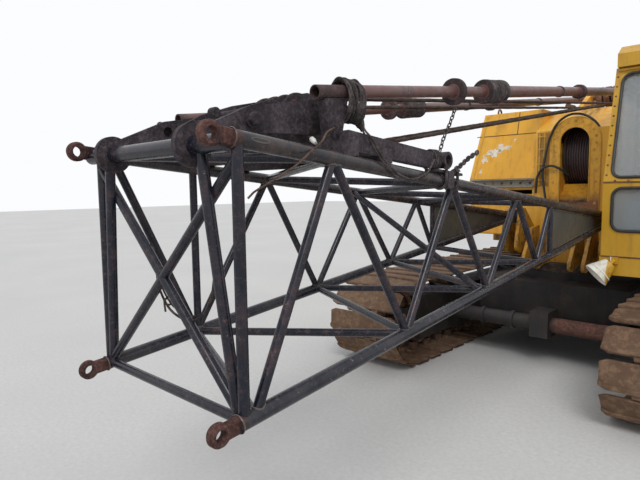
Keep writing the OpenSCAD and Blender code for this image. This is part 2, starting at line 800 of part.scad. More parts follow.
// Windows as [low corner, high corner] in X and Z for the front, Y and Z for the sides
screen = [[cab_inner_x + 60, cab_belt + 40], [cab_outer_x - 60, cab_roof_z - 60]];
front_low = [[cab_inner_x + 75, cab_base + 220], [cab_outer_x - 75, cab_belt - 50]];
side_window = [[-cab_front + 300, cab_belt + 40], [cab_rear - 100, cab_roof_z - 130]];
rear_window = [[cab_inner_x + 110, cab_belt + 60], [cab_outer_x - 110, cab_roof_z - 130]];
door_window = [[door_front + 70, cab_belt - 60], [door_rear - 70, door_top_z - 70]];

module front_cut(w, grow, y0, y1) {
    translate([0, y1, 0]) rotate([90, 0, 0]) linear_extrude(y1 - y0)
        round_rect(w[0] - [grow, grow], w[1] + [grow, grow], window_r + grow);
}
// The door's window follows the door's leaning front edge
module door_window_cut(x, t) intersection() {
    side_cut(door_window, 0, x, t);
    plate_yz(x, t) translate([55, 0]) door_outline(0);
}
module side_cut(w, grow, x, t) {
    plate_yz(x, t) round_rect(w[0] - [grow, grow], w[1] + [grow, grow], window_r + grow);
}
module door_outline(grow) {
    polygon([[door_front - grow, door_bottom_z - grow], [door_front - grow, cab_belt],
             [door_front + 190 - grow, door_top_z + grow], [door_rear + grow, door_top_z + grow],
             [door_rear + grow, door_bottom_z - grow]]);
}
module cab_shell() {
    color(worn_yellow) at_origin() {
        difference() {
            plate_yz(cab_inner_x + cab_w / 2, cab_w) cab_profile(0);
            plate_yz(cab_inner_x + cab_w / 2, cab_w - 2 * cab_t) cab_profile(cab_t);
            front_cut(screen, 0, -cab_front - past, -cab_front + cab_rake + 2 * cab_t);
            front_cut(front_low, 0, -cab_front - past, -cab_front + cab_t + past);
            front_cut(rear_window, 0, cab_rear - cab_t - past, cab_rear + past);
            side_cut(side_window, 0, cab_inner_x + cab_t / 2, cab_t + 2 * past);
            plate_yz(cab_outer_x - cab_t / 2, cab_t + 2 * past) door_outline(door_gap);
        }
        block([ear_outer_x + ear_t / 2, -cab_front, cab_bottom],
              [cab_outer_x, -house_front, cab_base]);
        hinge_pair(cab_outer_x, door_rear + door_gap / 2, door_bottom_z, door_top_z, hinge_leaf, false);
        // Raised roof cap with a peak over the windscreen
        plate_yz(cab_inner_x + cab_w / 2, cab_w - 40)
            polygon([[-cab_front + cab_rake - 60, cab_roof_z - 1],
                     [-cab_front + cab_rake - 60, cab_roof_z + cap_h - 80],
                     [-cab_front + cab_rake + 60, cab_roof_z + cap_h],
                     [cab_rear - 200, cab_roof_z + cap_h - 40], [cab_rear - 60, cab_roof_z - 1]]);
    }
}
module cab_glass() {
    lean = atan(cab_rake / (cab_roof_z - cab_belt));
    color(glass_blue, 0.4) at_origin() {
        // The windscreen lies in the middle of the leaning wall
        intersection() {
            front_cut(screen, 0, -cab_front, -cab_front + cab_rake + cab_t);
            translate([0, -cab_front, cab_belt]) rotate([-lean, 0, 0])
                block([cab_inner_x, 15, -200], [cab_outer_x, 15 + glass_t, 1200]);
        }
        front_cut(front_low, 0, -cab_front + 15, -cab_front + 15 + glass_t);
        front_cut(rear_window, 0, cab_rear - 15 - glass_t, cab_rear - 15);
        side_cut(side_window, 0, cab_inner_x + 15, glass_t);
    }
}
module cab_door() {
    color(worn_yellow) at_origin() {
        difference() {
            plate_yz(cab_outer_x - cab_t / 2, cab_t) door_outline(0);
            door_window_cut(cab_outer_x - cab_t / 2, cab_t + 2 * past);
        }
        hinge_pair(cab_outer_x, door_rear + door_gap / 2, door_bottom_z, door_top_z, -hinge_leaf, true);
    }
}
module cab_door_glass() {
    color(glass_blue, 0.4) at_origin() door_window_cut(cab_outer_x - 15, glass_t);
}
seat_x = cab_inner_x + cab_w / 2;
seat_y = cab_rear - 420;
module seat() {
    color("#202022") at_origin() {
        block([seat_x - 230, seat_y - 240, cab_base + cab_t + 300],
              [seat_x + 230, seat_y + 240, cab_base + cab_t + 420]);
        block([seat_x - 220, seat_y + 150, cab_base + cab_t + 420],
              [seat_x + 220, seat_y + 250, cab_base + cab_t + 950]);
        translate([seat_x, seat_y, cab_base + cab_t]) cylinder(h = 300, d = 160);
    }
}
module controls() {
    color("#55585a") at_origin() {
        block([seat_x - 330, -cab_front + 330, cab_base + cab_t],
              [seat_x + 330, -cab_front + 430, cab_base + cab_t + 420]);
        for (i = [0 : 4])
            translate([seat_x - 240 + i * 120, -cab_front + 380, cab_base + cab_t + 420])
                rotate([-8, 0, 0]) cylinder(h = 260, d = 18);
    }
}

lamp_throat = [700, -1568, 1115];
lamp_dir = [-0.62, -0.42, -0.66];
module work_lamp() {
    color("white") at_origin() {
        bend = [0, acos(lamp_dir.z / norm(lamp_dir)), atan2(lamp_dir.y, lamp_dir.x)];
        translate(lamp_throat) rotate(bend) difference() {
            cylinder(h = 150, d1 = 112, d2 = 222);
            translate([0, 0, 12]) cylinder(h = 150, d1 = 102, d2 = 213);
        }
        bar(lamp_throat, [cab_inner_x + 110, -cab_front - 18, 1140], 30);
        block([cab_inner_x + 80, -cab_front - 18, 1110], [cab_inner_x + 140, -cab_front, 1168]);
    }
}

// Boom: chords with lugs, and lacing tubes coped to the chords

function chord_point(side, level, y) = [side * half_w, y, level * half_h(y)];
neck_start = lug_bore / 2 + 5;
neck_end = neck_start + 56;
lug_round = 9;
module chord_solid(side, level) difference() {
    bar(chord_point(side, level, neck_start), chord_point(side, level, chord_end), chord_d);
    // Flat cheeks of the neck, just inside the lug's faces
    for (cheek = [-1, 1])
        translate([side * half_w + cheek * (lug_w / 2 - 1 + chord_d), neck_end / 2, level * half_h(0)])
            cube([2 * chord_d, neck_end, 3 * chord_d], center = true);
}
module lug_ring(side, level) {
    r0 = lug_bore / 2;
    r1 = lug_d / 2;
    h = lug_w / 2;
    translate([side * half_w, 0, level * half_h(0)]) rotate([0, 90, 0]) rotate_extrude()
        polygon([[r0, -h], [r1 - lug_round, -h], [r1, -h + lug_round], [r1, h - lug_round],
                 [r1 - lug_round, h], [r0, h]]);
}
module all_chords() for (side = [left, right], level = [-1, 1]) chord_solid(side, level);
module chord(side, level) {
    color(black_steel) at_origin() on_boom() {
        chord_solid(side, level);
        lug_ring(side, level);
    }
}
module chord_top_left() chord(left, 1);
module chord_top_right() chord(right, 1);
module chord_bottom_left() chord(left, -1);
module chord_bottom_right() chord(right, -1);

// The chord point of a station on one side face; even stations are low on the left
function face_point(side, i) =
    let (y = stations[i], level = (i % 2 == 0 ? -1 : 1) * side)
    [side * half_w, y, level * half_h(y)];
// The chord point of a station on the top or bottom face
function flat_point(level, i) =
    let (y = stations[i], side = (i % 2 == 0 ? -1 : 1) * level)
    [side * half_w, y, level * half_h(y)];

// Tube ends are coped to plain round chords, also beside the thinner necks
module coped() on_boom() difference() {
    union() children();
    for (side = [left, right], level = [-1, 1])
        bar(chord_point(side, level, neck_start), chord_point(side, level, chord_end), chord_d);
}
module side_lacing(side) {
    color(black_steel) at_origin() coped() {
        for (i = [0 : last_station - 1]) bar(face_point(side, i), face_point(side, i + 1), lacing_d);
        y = stations[last_station];
        bar([side * half_w, y, -half_h(y)], [side * half_w, y, half_h(y)], lacing_d);
        if (side == right) {
            y1 = stations[1] + 10;
            bar([side * half_w, y1, -half_h(y1)], [side * half_w, y1, half_h(y1)], lacing_d);
        }
    }
}
module lacing_left() side_lacing(left);
module lacing_right() side_lacing(right);
module flat_lacing(level) {
    color(black_steel) at_origin() coped()
        for (i = [0 : last_station - 1]) bar(flat_point(level, i), flat_point(level, i + 1), lacing_d);
}
module lacing_top() flat_lacing(1);
module lacing_bottom() flat_lacing(-1);

// A diagonal across the section stands just ahead of a station, clear of its lacing.
brace_lead = 62;
roller_y = 70;
roller_drop = 16;
arm_t = 24;
module end_frame() {
    y = end_frame_y;
    z = half_h(y);
    roller_z = half_h(roller_y) - roller_drop;
    cross_y = stations[4] - brace_lead;
    color(black_steel) at_origin() coped() {
        for (side = [left, right]) {
            bar([side * half_w, y, -z], [side * half_w, y, z], post_d);
            bar([side * (arm_x + arm_t / 2 + post_d / 2 + 6), roller_y + 5, roller_z],
                [side * (half_w - 30), y, -z], post_d);
        }
        bar([-half_w, y, z - 60], [half_w, y, -z], lacing_d);
        bar([-half_w, y, -z], [half_w, y, z - 60], lacing_d);
        bar([-half_w, y, -z], [half_w, y, -z], lacing_d);
        bar([-half_w, roller_y, roller_z], [half_w, roller_y, roller_z], roller_d);
        bar([-half_w, cross_y, half_h(cross_y)], [half_w, cross_y, -half_h(cross_y)], lacing_d);
    }
}

module foot_plates() {
    color(grey_olive) at_origin() on_boom() for (side = [left, right]) {
        y0 = stations[last_station] + lacing_d / 2 + 2;
        difference() {
            plate_yz(side * half_w, foot_plate_t)
                polygon([[y0, -half_h(y0)], [y0, half_h(y0)],
                         [chord_end, half_h(chord_end)], [chord_end, -half_h(chord_end)]]);
            all_chords();
        }
        difference() {
            union() {
                plate_yz(side * half_w, chord_d)
                    polygon([[chord_end, -62], [chord_end, 62], [butt_len, foot_boss_d / 2],
                             [butt_len, -foot_boss_d / 2]]);
                disc_x(side * half_w, butt_len, 0, foot_boss_d, foot_boss_w);
            }
            disc_x(side * half_w, butt_len, 0, foot_pin_d + 2 * pin_fit, foot_boss_w + 2 * past);
            all_chords();
        }
    }
}

// Bridle lying on the boom's top: two arms from the end tube, sheaves between two plates,
// gussets under the front ends of the backstops, and the pendant link

chord_top = chord_d / 2;
function stop_drop(side) = side == right ? 28 : 0;
function stop_tilt(side) =
    asin((head_shaft_z - foot_pin_z - 715 + stop_drop(side)) / stop_reach);
// Height of a backstop's centre line above the boom's centre line
function stop_line(side, y) =
    head_shaft_z - foot_pin_z - (boom_reach + head_shaft_y - y) * tan(stop_tilt(side));
arm_knee = [335, 592];
module bridle_arm(side) {
    roller = [roller_y, half_h(roller_y) - roller_drop];
    difference() {
        plate_yz(side * arm_x, arm_t) {
            translate(roller) circle(arm_end_d / 2);
            link(roller, 49, arm_knee, 49);
            link(arm_knee, 49, [bridle_shaft_y, bridle_shaft_z], 85);
        }
        disc_x(side * arm_x, roller.x, roller.y, roller_d + 2 * pin_fit, 2 * arm_t);
        disc_x(side * arm_x, arm_knee.x, arm_knee.y, 46, 2 * arm_t);
        disc_x(side * arm_x, bridle_shaft_y, bridle_shaft_z, 60, 2 * arm_t);
    }
}
beam_y = [700, 940];
beam_h = 60;
beam_t = 72;
// The block's plates stand 5 mm into the beams that carry them
function block_low(i) = half_h(beam_y[i]) + chord_top + beam_h - 5;
// A plate of the sheave block, with its sloping top edge
module block_plate(side) {
    difference() {
        plate_yz(side * bridle_half_w, bridle_plate_t)
            polygon([[300, 600], [420, 662], [600, 722], [bridle_shaft_y, 768], [960, 768],
                     [1010, 700], [1010, 540], [beam_y[1] + beam_t / 2, block_low(1)],
                     [beam_y[0] - beam_t / 2, block_low(0)], [420, 560]]);
        disc_x(side * bridle_half_w, bridle_shaft_y, bridle_shaft_z, 60, 2 * bridle_plate_t);
    }
}
// Gusset with a half-round seat under the front end of a backstop
module stop_gusset(side) {
    base_z = half_h(beam_y[0]) + chord_top + beam_h;
    difference() {
        plate_yz(side * cradle_x, 46)
            polygon([[beam_y[0] - 36, base_z - 1], [beam_y[0] + 36, base_z - 1],
                     [beam_y[0] + 90, stop_line(side, beam_y[0])],
                     [beam_y[0] - 70, stop_line(side, beam_y[0])]]);
        bar([side * cradle_x, beam_y[0] - 200, stop_line(side, beam_y[0] - 200)],
            [side * cradle_x, beam_y[0] + 200, stop_line(side, beam_y[0] + 200)], stop_rod_d + 12);
    }
}
// Pendant link, a box beam lying along the left upper chord with a tube eye at its end
link_x = 470;
link_w = 54;
link_eye = [1472, 462];
link_eye_d = 86;
module pendant_link() {
    difference() {
        union() {
            plate_yz(link_x, link_w)
                polygon([[beam_y[0], 478], [beam_y[0], 562], [1380, 500], [1460, 490],
                         [1460, 430], [1380, 420]]);
            disc_x(link_x, link_eye.x, link_eye.y, link_eye_d, 110);
        }
        disc_x(link_x, link_eye.x, link_eye.y, 52, 120);
        all_chords();
    }
}
module bridle_plates() {
    color(rust) at_origin() on_boom() {
        for (side = [left, right]) {
            bridle_arm(side);
            block_plate(side);
            stop_gusset(side);
        }
        pendant_link();
        // Cross beams that lie on the two upper chords
        difference() {
            for (y = beam_y)
                block([-half_w - 20, y - beam_t / 2, half_h(y) + lacing_d / 2 + 6],
                      [half_w + 20, y + beam_t / 2, half_h(y) + chord_top + beam_h]);
            all_chords();
            disc_x(0, bridle_shaft_y, bridle_shaft_z, bridle_sheave_d + 10, 2 * bridle_half_w - 4);
        }
    }
}
module bridle_sheaves() {
    color(rust) at_origin() on_boom() {
        inner_w = 2 * bridle_half_w - bridle_plate_t;
        step = inner_w / bridle_sheaves_n;
        disc_x(0, bridle_shaft_y, bridle_shaft_z, 60, 2 * arm_x + 60);
        for (i = [0 : bridle_sheaves_n - 1])
            translate([(i + 0.5) * step - inner_w / 2, bridle_shaft_y, bridle_shaft_z])
                rotate([0, 90, 0]) rotate_extrude()
                    polygon([[20, -step / 2 + 4], [bridle_sheave_d / 2, -step / 2 + 4],
                             [bridle_sheave_d / 2 - 22, 0], [bridle_sheave_d / 2, step / 2 - 4],
                             [20, step / 2 - 4]]);
    }
}

// Backstops: telescopic tubes hinged on the gantry's head shaft

module on_stop(side)
    translate([side * cradle_x, head_shaft_y, head_shaft_z])
        rotate([90 + stop_tilt(side), 0, 0]) children();
function stop_len(side) = stop_reach + (side == right ? stop_extra : 0);
// The right tube is a little shorter, and its sleeve sits further back
function tube_len(side) = stop_tube_len - (side == right ? 116 : 0);
function sleeve_end(side) = tube_len(side) - (side == right ? 184 : 0);
sleeve_len = 250;
band_at = 0.6 * stop_tube_len;
module backstop_tube(side) {
    color(rust) at_origin() on_stop(side) difference() {
        union() {
            translate([0, 0, 40]) cylinder(h = tube_len(side) - 40, d = stop_tube_d);
            disc_x(0, 0, 0, 120, stop_eye_w);
            translate([0, 0, sleeve_end(side) - sleeve_len]) cylinder(h = sleeve_len, d = collar_d - 10);
            translate([0, 0, band_at]) cylinder(h = 60, d = collar_d - 30);
            if (side == right) translate([0, 0, tube_len(side) - 40]) cylinder(h = 30, d = collar_d);
        }
        translate([0, 0, tube_len(side) - 1400])
            cylinder(h = 1400 + past, d = stop_rod_d + 2 * turn_gap);
        disc_x(0, 0, 0, head_shaft_d + 2 * pin_fit, stop_eye_w + 2 * past);
    }
}
module backstop_tube_left() backstop_tube(left);
module backstop_tube_right() backstop_tube(right);
module backstop_rod(side) {
    tail = tube_len(side) - 900;
    color(rust) at_origin() on_stop(side) difference() {
        union() {
            translate([0, 0, tail]) cylinder(h = stop_len(side) - tail, d = stop_rod_d);
            if (side == left) translate([0, 0, tube_len(side) + stop_stroke + 40])
                cylinder(h = 30, d = collar_d);
        }
        translate([0, 0, tail - past])
            cylinder(h = stop_len(side) - tail + 2 * past, d = stop_rod_d - 2 * stop_wall);
    }
}
module backstop_rod_left() backstop_rod(left);
module backstop_rod_right() backstop_rod(right);

car_body();
propel_shafts();
slewing_ring();
side_frames();
track_left();
track_right();
sprockets();
idlers();
track_rollers();
revolving_frame();
boom_foot_pins();
counterweight();
house_shell();
drum_guard();
house_door_front();
house_door_rear();
house_door_left();
engine_block();
gantry();
gantry_head();
main_drum();
exhaust();
work_lamp();
cab_shell();
cab_glass();
cab_door();
cab_door_glass();
seat();
controls();
chord_top_left();
chord_top_right();
chord_bottom_left();
chord_bottom_right();
lacing_left();
lacing_right();
lacing_top();
lacing_bottom();
end_frame();
foot_plates();
bridle_plates();
bridle_sheaves();
backstop_tube_left();
backstop_tube_right();
backstop_rod_left();
backstop_rod_right();
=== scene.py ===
import bmesh
import bpy
import numpy as np
from mathutils import Matrix, Vector


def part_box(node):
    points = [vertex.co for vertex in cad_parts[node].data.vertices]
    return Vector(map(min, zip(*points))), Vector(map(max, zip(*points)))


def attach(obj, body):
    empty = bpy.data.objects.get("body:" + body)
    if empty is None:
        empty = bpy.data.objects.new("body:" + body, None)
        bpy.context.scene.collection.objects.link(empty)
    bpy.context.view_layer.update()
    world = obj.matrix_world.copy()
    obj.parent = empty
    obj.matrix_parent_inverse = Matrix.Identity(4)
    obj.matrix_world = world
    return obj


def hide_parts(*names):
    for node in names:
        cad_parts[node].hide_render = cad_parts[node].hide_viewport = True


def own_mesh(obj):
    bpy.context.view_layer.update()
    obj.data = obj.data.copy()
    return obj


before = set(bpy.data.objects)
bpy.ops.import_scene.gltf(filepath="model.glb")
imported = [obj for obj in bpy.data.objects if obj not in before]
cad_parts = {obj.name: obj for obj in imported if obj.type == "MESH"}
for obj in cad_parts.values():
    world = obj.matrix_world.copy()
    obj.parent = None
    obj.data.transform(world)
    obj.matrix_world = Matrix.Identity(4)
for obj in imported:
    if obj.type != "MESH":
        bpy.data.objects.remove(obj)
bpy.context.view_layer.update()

# Camera
# It stands in front of the crane's left track at eye height and looks along the
# boom's left side towards the cab, turned a little clockwise.
camera_place = Vector((1.913, -5.2835, 1.763))
camera_heading, camera_tilt, camera_roll = np.radians((42.97, -5.36, 0.76))
camera_data = bpy.data.cameras.new("camera")
camera_data.lens = 29.65
camera_data.sensor_width = 36.0
camera_data.clip_end = 200.0
camera = bpy.data.objects.new("camera", camera_data)
camera.matrix_world = (
    Matrix.Translation(camera_place)
    @ Matrix.Rotation(camera_heading, 4, "Z")
    @ Matrix.Rotation(np.pi / 2 + camera_tilt, 4, "X")
    @ Matrix.Rotation(-camera_roll, 4, "Z")
)
bpy.context.scene.collection.objects.link(camera)
bpy.context.scene.camera = camera

# Loose wires on the boom
# Old steel wires and a lamp lead that were left hanging on the boom: a loop of two turns
# inside its end, one over the left upper chord, and one with a white plug at the sheaves.
BOOM_ORIGIN = np.array((0.0, -4.2785, 1.45))  # middle of the four lugs
SLEW_Y = 1.1715                               # the slewing axis stands at x = 0
LEFT, FORWARD, UP = (1, 0, 0), (0, -1, 0), (0, 0, 1)
SIDES = ((1, "left"), (-1, "right"))


def on_boom(*p):
    """A place given from the middle of the lugs."""
    return np.array(p, float) + BOOM_ORIGIN


def unit(v):
    """Vectors divided by their lengths, along the last axis."""
    return v / np.maximum(np.linalg.norm(v, axis=-1, keepdims=True), 1e-12)


def run_of(path):
    """The distance along a path to each of its points."""
    return np.concatenate([[0], np.cumsum(np.linalg.norm(np.diff(path, axis=0), axis=1))])


def smooth_path(points, count):
    """A Catmull-Rom curve through the points, in count equal steps of arc length: each
    span is the cubic whose end slopes are half the chord between its neighbours."""
    p = np.asarray(points, float)
    p = np.vstack([2 * p[0] - p[1], p, 2 * p[-1] - p[-2]])
    t = np.linspace(0, 1, 24, endpoint=False)[None, :, None]
    a, b, c, d = (p[i:len(p) - 3 + i][:, None, :] for i in range(4))
    fine = 0.5 * (2 * b + (c - a) * t + (2 * a - 5 * b + 4 * c - d) * t**2
                  + (3 * b - a - 3 * c + d) * t**3)
    fine = np.vstack([fine.reshape(-1, 3), p[-2]])
    run = run_of(fine)
    steps = np.linspace(0, run[-1], count)
    return np.stack([np.interp(steps, run, fine[:, k]) for k in range(3)], axis=1)


def path_length(path):
    """The sum of a path's steps."""
    return float(run_of(path)[-1])


def sweep(path, ring, closed=False):
    """A profile carried along a path. Row i is the path's point i plus the ring's
    (side, up) offsets, laid on two directions square to the path that turn with it.
    The ring may be one (m, 2) array or one for each point, (n, m, 2)."""
    path = np.asarray(path, float)
    if closed:
        along = unit(np.roll(path, -1, 0) - np.roll(path, 1, 0))
    else:
        along = unit(np.gradient(path, axis=0))
    mean = unit(np.abs(along).mean(axis=0))
    start = np.eye(3)[np.argmin(mean)]
    side = unit(start - along * (along @ start)[:, None])
    up = np.cross(along, side)
    ring = np.broadcast_to(ring, (len(path),) + np.shape(ring)[-2:])
    return path[:, None] + ring[..., :1] * side[:, None] + ring[..., 1:] * up[:, None]


def angles(count):
    """Equal angles round a circle."""
    return np.linspace(0, 2 * np.pi, count, endpoint=False)


def circle(radius, sides):
    """Points (r cos a, r sin a) at equal angles."""
    a = angles(sides)
    return np.stack([radius * np.cos(a), radius * np.sin(a)], axis=1)


def oval(middle, across, up, a):
    """Points middle + across cos a + up sin a, where across and up are vectors."""
    return np.array(middle) + np.cos(a)[:, None] * across + np.sin(a)[:, None] * up


def rod(path, radius, sides=10, closed=False):
    """A round profile carried along a path; the radius may change from point to point."""
    radius = np.broadcast_to(radius, (len(path),))
    return sweep(path, circle(1.0, sides)[None] * radius[:, None, None], closed)


def frame_of(axis):
    """Three square directions, the last along the axis, as the rows of a matrix."""
    z = unit(np.asarray(axis, float))
    x = unit(np.cross(z, np.eye(3)[np.argmin(np.abs(z))]))
    return np.stack([x, np.cross(z, x), z])


def turned(profile, base, axis, sides=24):
    """A lathe shape: each (radius, height) of the profile runs round the axis, so the
    point at angle a is base + radius (cos a, sin a) across the axis + height along it."""
    r, h = np.asarray(profile, float).T
    f = frame_of(axis)
    ring = circle(1.0, sides) @ f[:2]
    return np.asarray(base) + r[:, None, None] * ring[None] + h[:, None, None] * f[2]


def piece(name, grids, material, body, smooth=True, ends=True, loop=False):
    """One or more grids of points as a mesh that rides on a body. Neighbouring rows and
    columns span quads, and the columns close into a ring. So do the rows when loop, or
    else ends gives the first and the last a face each."""
    points, faces, start = [], [], 0
    for grid in grids:
        n, m = grid.shape[:2]
        i = np.arange(n if loop else n - 1)[:, None]
        j = np.arange(m)[None, :]
        nxt, side = (i + 1) % n, (j + 1) % m
        quads = np.stack(np.broadcast_arrays(
            i * m + j, i * m + side, nxt * m + side, nxt * m + j), -1)
        faces += (quads.reshape(-1, 4) + start).tolist()
        if ends and not loop:
            last = start + (n - 1) * m
            faces += [list(range(start, start + m)), list(range(last, last + m))]
        points.append(grid.reshape(-1, 3))
        start += n * m
    mesh = bpy.data.meshes.new(name)
    mesh.from_pydata(np.vstack(points).tolist(), [], faces)
    work = bmesh.new()
    work.from_mesh(mesh)
    bmesh.ops.remove_doubles(work, verts=work.verts, dist=1e-6)
    bmesh.ops.recalc_face_normals(work, faces=work.faces)
    work.to_mesh(mesh)
    work.free()
    if smooth:
        mesh.shade_smooth()
        mesh.set_sharp_from_angle(angle=np.radians(35))
    mesh.materials.append(material)
    made = bpy.data.objects.new(name, mesh)
    bpy.context.scene.collection.objects.link(made)
    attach(made, body)
    return made


def put(socket, value):
    """Gives an input a link or a value. Colours are written without their alpha of 1."""
    if isinstance(value, bpy.types.NodeSocket):
        socket.id_data.links.new(value, socket)
    else:
        socket.default_value = (*value, 1) if socket.type == "RGBA" else value


def node(kind, inputs, **settings):
    """Adds a shader node to the tree that its first linked input comes from, sets its
    fields, and fills its inputs with values or links."""
    tree = next(v.id_data for v in inputs.values() if isinstance(v, bpy.types.NodeSocket))
    made = tree.nodes.new("ShaderNode" + kind)
    for key, value in settings.items():
        setattr(made, key, value)
    for key, value in inputs.items():
        put(made.inputs[key], value)
    return made


def mix(factor, a, b):
    """A colour mix of a and b by the factor, each a value or a link."""
    return node("Mix", {0: factor, 6: a, 7: b}, data_type="RGBA").outputs[2]


def math(kind, a, b=0.0):
    """One sum on two numbers, each a value or a link."""
    return node("Math", {0: a, 1: b}, operation=kind).outputs[0]


def times(a, b):
    """The product of two numbers, each a value or a link."""
    return math("MULTIPLY", a, b)


def limits(value, low, high, to_low=0.0, to_high=1.0):
    """Carries a value's stretch from low to high on to another, and cuts it off there."""
    return node("MapRange", {"Value": value, "From Min": low, "From Max": high,
                             "To Min": to_low, "To Max": to_high}).outputs[0]


def noise(vector, scale, detail=4.0, rough=0.6):
    """Fractal noise around 0.5."""
    return node("TexNoise", {"Vector": vector, "Scale": scale, "Detail": detail,
                             "Roughness": rough}).outputs["Fac"]


def parts_of(vector):
    """A vector's three numbers."""
    return node("SeparateXYZ", {0: vector}).outputs


SKIN_OUTPUTS = {"Color": "Color", "Roughness": "Float", "Metallic": "Float", "Height": "Float"}


def group(name, outputs=SKIN_OUTPUTS, **inputs):
    """A shader group that takes a Vector and named colours and numbers with their usual
    values. Gives the group's tree, the sockets it takes and those it gives."""
    tree = bpy.data.node_groups.new(name, "ShaderNodeTree")
    tree.interface.new_socket("Vector", in_out="INPUT", socket_type="NodeSocketVector")
    for title, value in inputs.items():
        kind = "Float" if isinstance(value, float) else "Color"
        socket = tree.interface.new_socket(title.replace("_", " "), in_out="INPUT",
                                           socket_type="NodeSocket" + kind)
        socket.default_value = value if kind == "Float" else (*value, 1)
    for title, kind in outputs.items():
        tree.interface.new_socket(title, in_out="OUTPUT", socket_type="NodeSocket" + kind)
    return tree, tree.nodes.new("NodeGroupInput").outputs, tree.nodes.new("NodeGroupOutput").inputs


def feed(out, **values):
    """Links each named value to the group's output of that name."""
    for title, value in values.items():
        put(out[title], value)


def place_group(effect, vector, values):
    """Puts an effect group beside a vector with its own values, and gives its outputs."""
    used = vector.id_data.nodes.new("ShaderNodeGroup")
    used.node_tree = effect
    put(used.inputs["Vector"], vector)
    for key, value in values.items():
        put(used.inputs[key.replace("_", " ")], value)
    return used.outputs


def finish(name, effect=None, slot=None, bump=0.0, distance=0.002, **values):
    """A material. The effect group gives Color, Roughness, Metallic and Height from Object
    coordinates. A value belongs to the Principled shader's input of that name, or else to
    the group's. The slot is not used."""
    made = bpy.data.materials.new(name)
    made.use_nodes = True
    tree = made.node_tree
    shader = tree.nodes["Principled BSDF"]
    for key in [key for key in values if key.replace("_", " ") in shader.inputs]:
        put(shader.inputs[key.replace("_", " ")], values.pop(key))
    if effect:
        place = tree.nodes.new("ShaderNodeTexCoord").outputs["Object"]
        used = place_group(effect, place, values)
        for key in ("Color", "Roughness", "Metallic"):
            if key in used:
                put(shader.inputs["Base Color" if key == "Color" else key], used[key])
        if bump:
            raised = node("Bump", {"Height": used["Height"], "Strength": bump,
                                   "Distance": distance})
            put(shader.inputs["Normal"], raised.outputs["Normal"])
    return made


# Rusty steel: brown scale in three tones, darker pits and a dusting of orange.
rust_skin, g, out = group(
    "rust_skin", Dark=(0.045, 0.028, 0.022), Brown=(0.16, 0.075, 0.045),
    Orange=(0.36, 0.14, 0.05), Dust=(0.36, 0.29, 0.22), Scale=6.0, Orange_Amount=0.35,
    Dust_Amount=0.2)
broad = noise(g["Vector"], g["Scale"], 6.0, 0.65)
fine = noise(g["Vector"], times(g["Scale"], 9.0), 5.0, 0.7)
pits = node("TexVoronoi", {"Vector": g["Vector"],
                           "Scale": times(g["Scale"], 14.0)}).outputs["Distance"]
tone = mix(limits(broad, 0.38, 0.62), g["Dark"], g["Brown"])
bloom = times(limits(fine, 0.48, 0.66), g["Orange Amount"])
tone = mix(bloom, tone, g["Orange"])
settled = limits(math("ADD", broad, fine), 0.95, 1.25)
tone = mix(times(settled, g["Dust Amount"]), tone, g["Dust"])
feed(out, Color=tone, Roughness=limits(fine, 0.3, 0.7, 0.72, 0.95),
     Metallic=limits(bloom, 0.0, 0.3, 0.25, 0.0), Height=math("ADD", fine, times(pits, 0.5)))
wire_rust = finish("wire_rust", rust_skin, "rusty_steel", bump=0.4, Scale=20.0,
                   Brown=(0.11, 0.062, 0.045), Orange=(0.22, 0.10, 0.055), Orange_Amount=0.3)
wire_black = finish("wire_black", rust_skin, "rusty_steel", bump=0.4, Scale=20.0,
                    Dark=(0.016, 0.013, 0.014), Brown=(0.045, 0.031, 0.028),
                    Orange=(0.12, 0.060, 0.040), Orange_Amount=0.3)

# Routes in metres from the middle of the lugs: x to the left, y towards the cab, z up. The
# loop's second turn lies beside the first, farthest from it at the bottom.
tip_route = np.array([(-0.135, 0.136, 0.100), (-0.124, 0.148, 0.030), (-0.113, 0.152, -0.074),
                      (-0.074, 0.152, -0.135), (-0.012, 0.150, -0.178), (0.075, 0.150, -0.198),
                      (0.166, 0.145, -0.187), (0.243, 0.140, -0.145), (0.294, 0.135, -0.079),
                      (0.322, 0.130, -0.002), (0.342, 0.125, 0.075), (0.364, 0.118, 0.150)])
turn_apart = np.sin(np.linspace(0, np.pi, len(tip_route)))[:, None] * (0.004, 0.008, 0.017)
loose_wires = {
    # name: (route, diameter, steps, coat)
    "wire_tip_loop": (tip_route, 0.010, 36, wire_black),
    "wire_tip_turn": (tip_route + turn_apart + (0.002, 0.003, 0.0), 0.008, 36, wire_black),
    "wire_over_chord": (((0.425, 0.690, 0.575), (0.466, 0.600, 0.548), (0.522, 0.505, 0.500),
                         (0.546, 0.412, 0.452), (0.548, 0.346, 0.408), (0.543, 0.285, 0.376),
                         (0.533, 0.219, 0.341), (0.528, 0.159, 0.312), (0.522, 0.135, 0.290)),
                        0.008, 24, wire_rust),
    "wire_with_plug": (((0.176, 0.684, 0.664), (0.198, 0.682, 0.632), (0.232, 0.676, 0.598),
                        (0.280, 0.668, 0.564), (0.318, 0.660, 0.538)), 0.006, 15, wire_rust),
}
plug_white = finish("plug_white", slot="white_enamel", Roughness=0.45,
                    Base_Color=(0.80, 0.79, 0.74))
plug_profile = [(0.0, 0), (0.009, 0.001), (0.012, 0.006), (0.012, 0.026), (0.008, 0.032),
                (0.008, 0.042), (0.0, 0.043)]
for title, (route, thick, steps, coat) in loose_wires.items():
    path = smooth_path(route, steps) + BOOM_ORIGIN
    wire = piece(title, [rod(path, thick / 2, 8)], coat, "boom")
    if title == "wire_with_plug":
        plug = piece("wire_plug", [turned(plug_profile, path[-1], path[-1] - path[-2], 16)],
                     plug_white, "boom")
        end = {"far_end": "plug", "stiffness": "medium", "with_pieces": [plug]}
    else:
        end = {"far_end": "object", "stiffness": "stiff"}

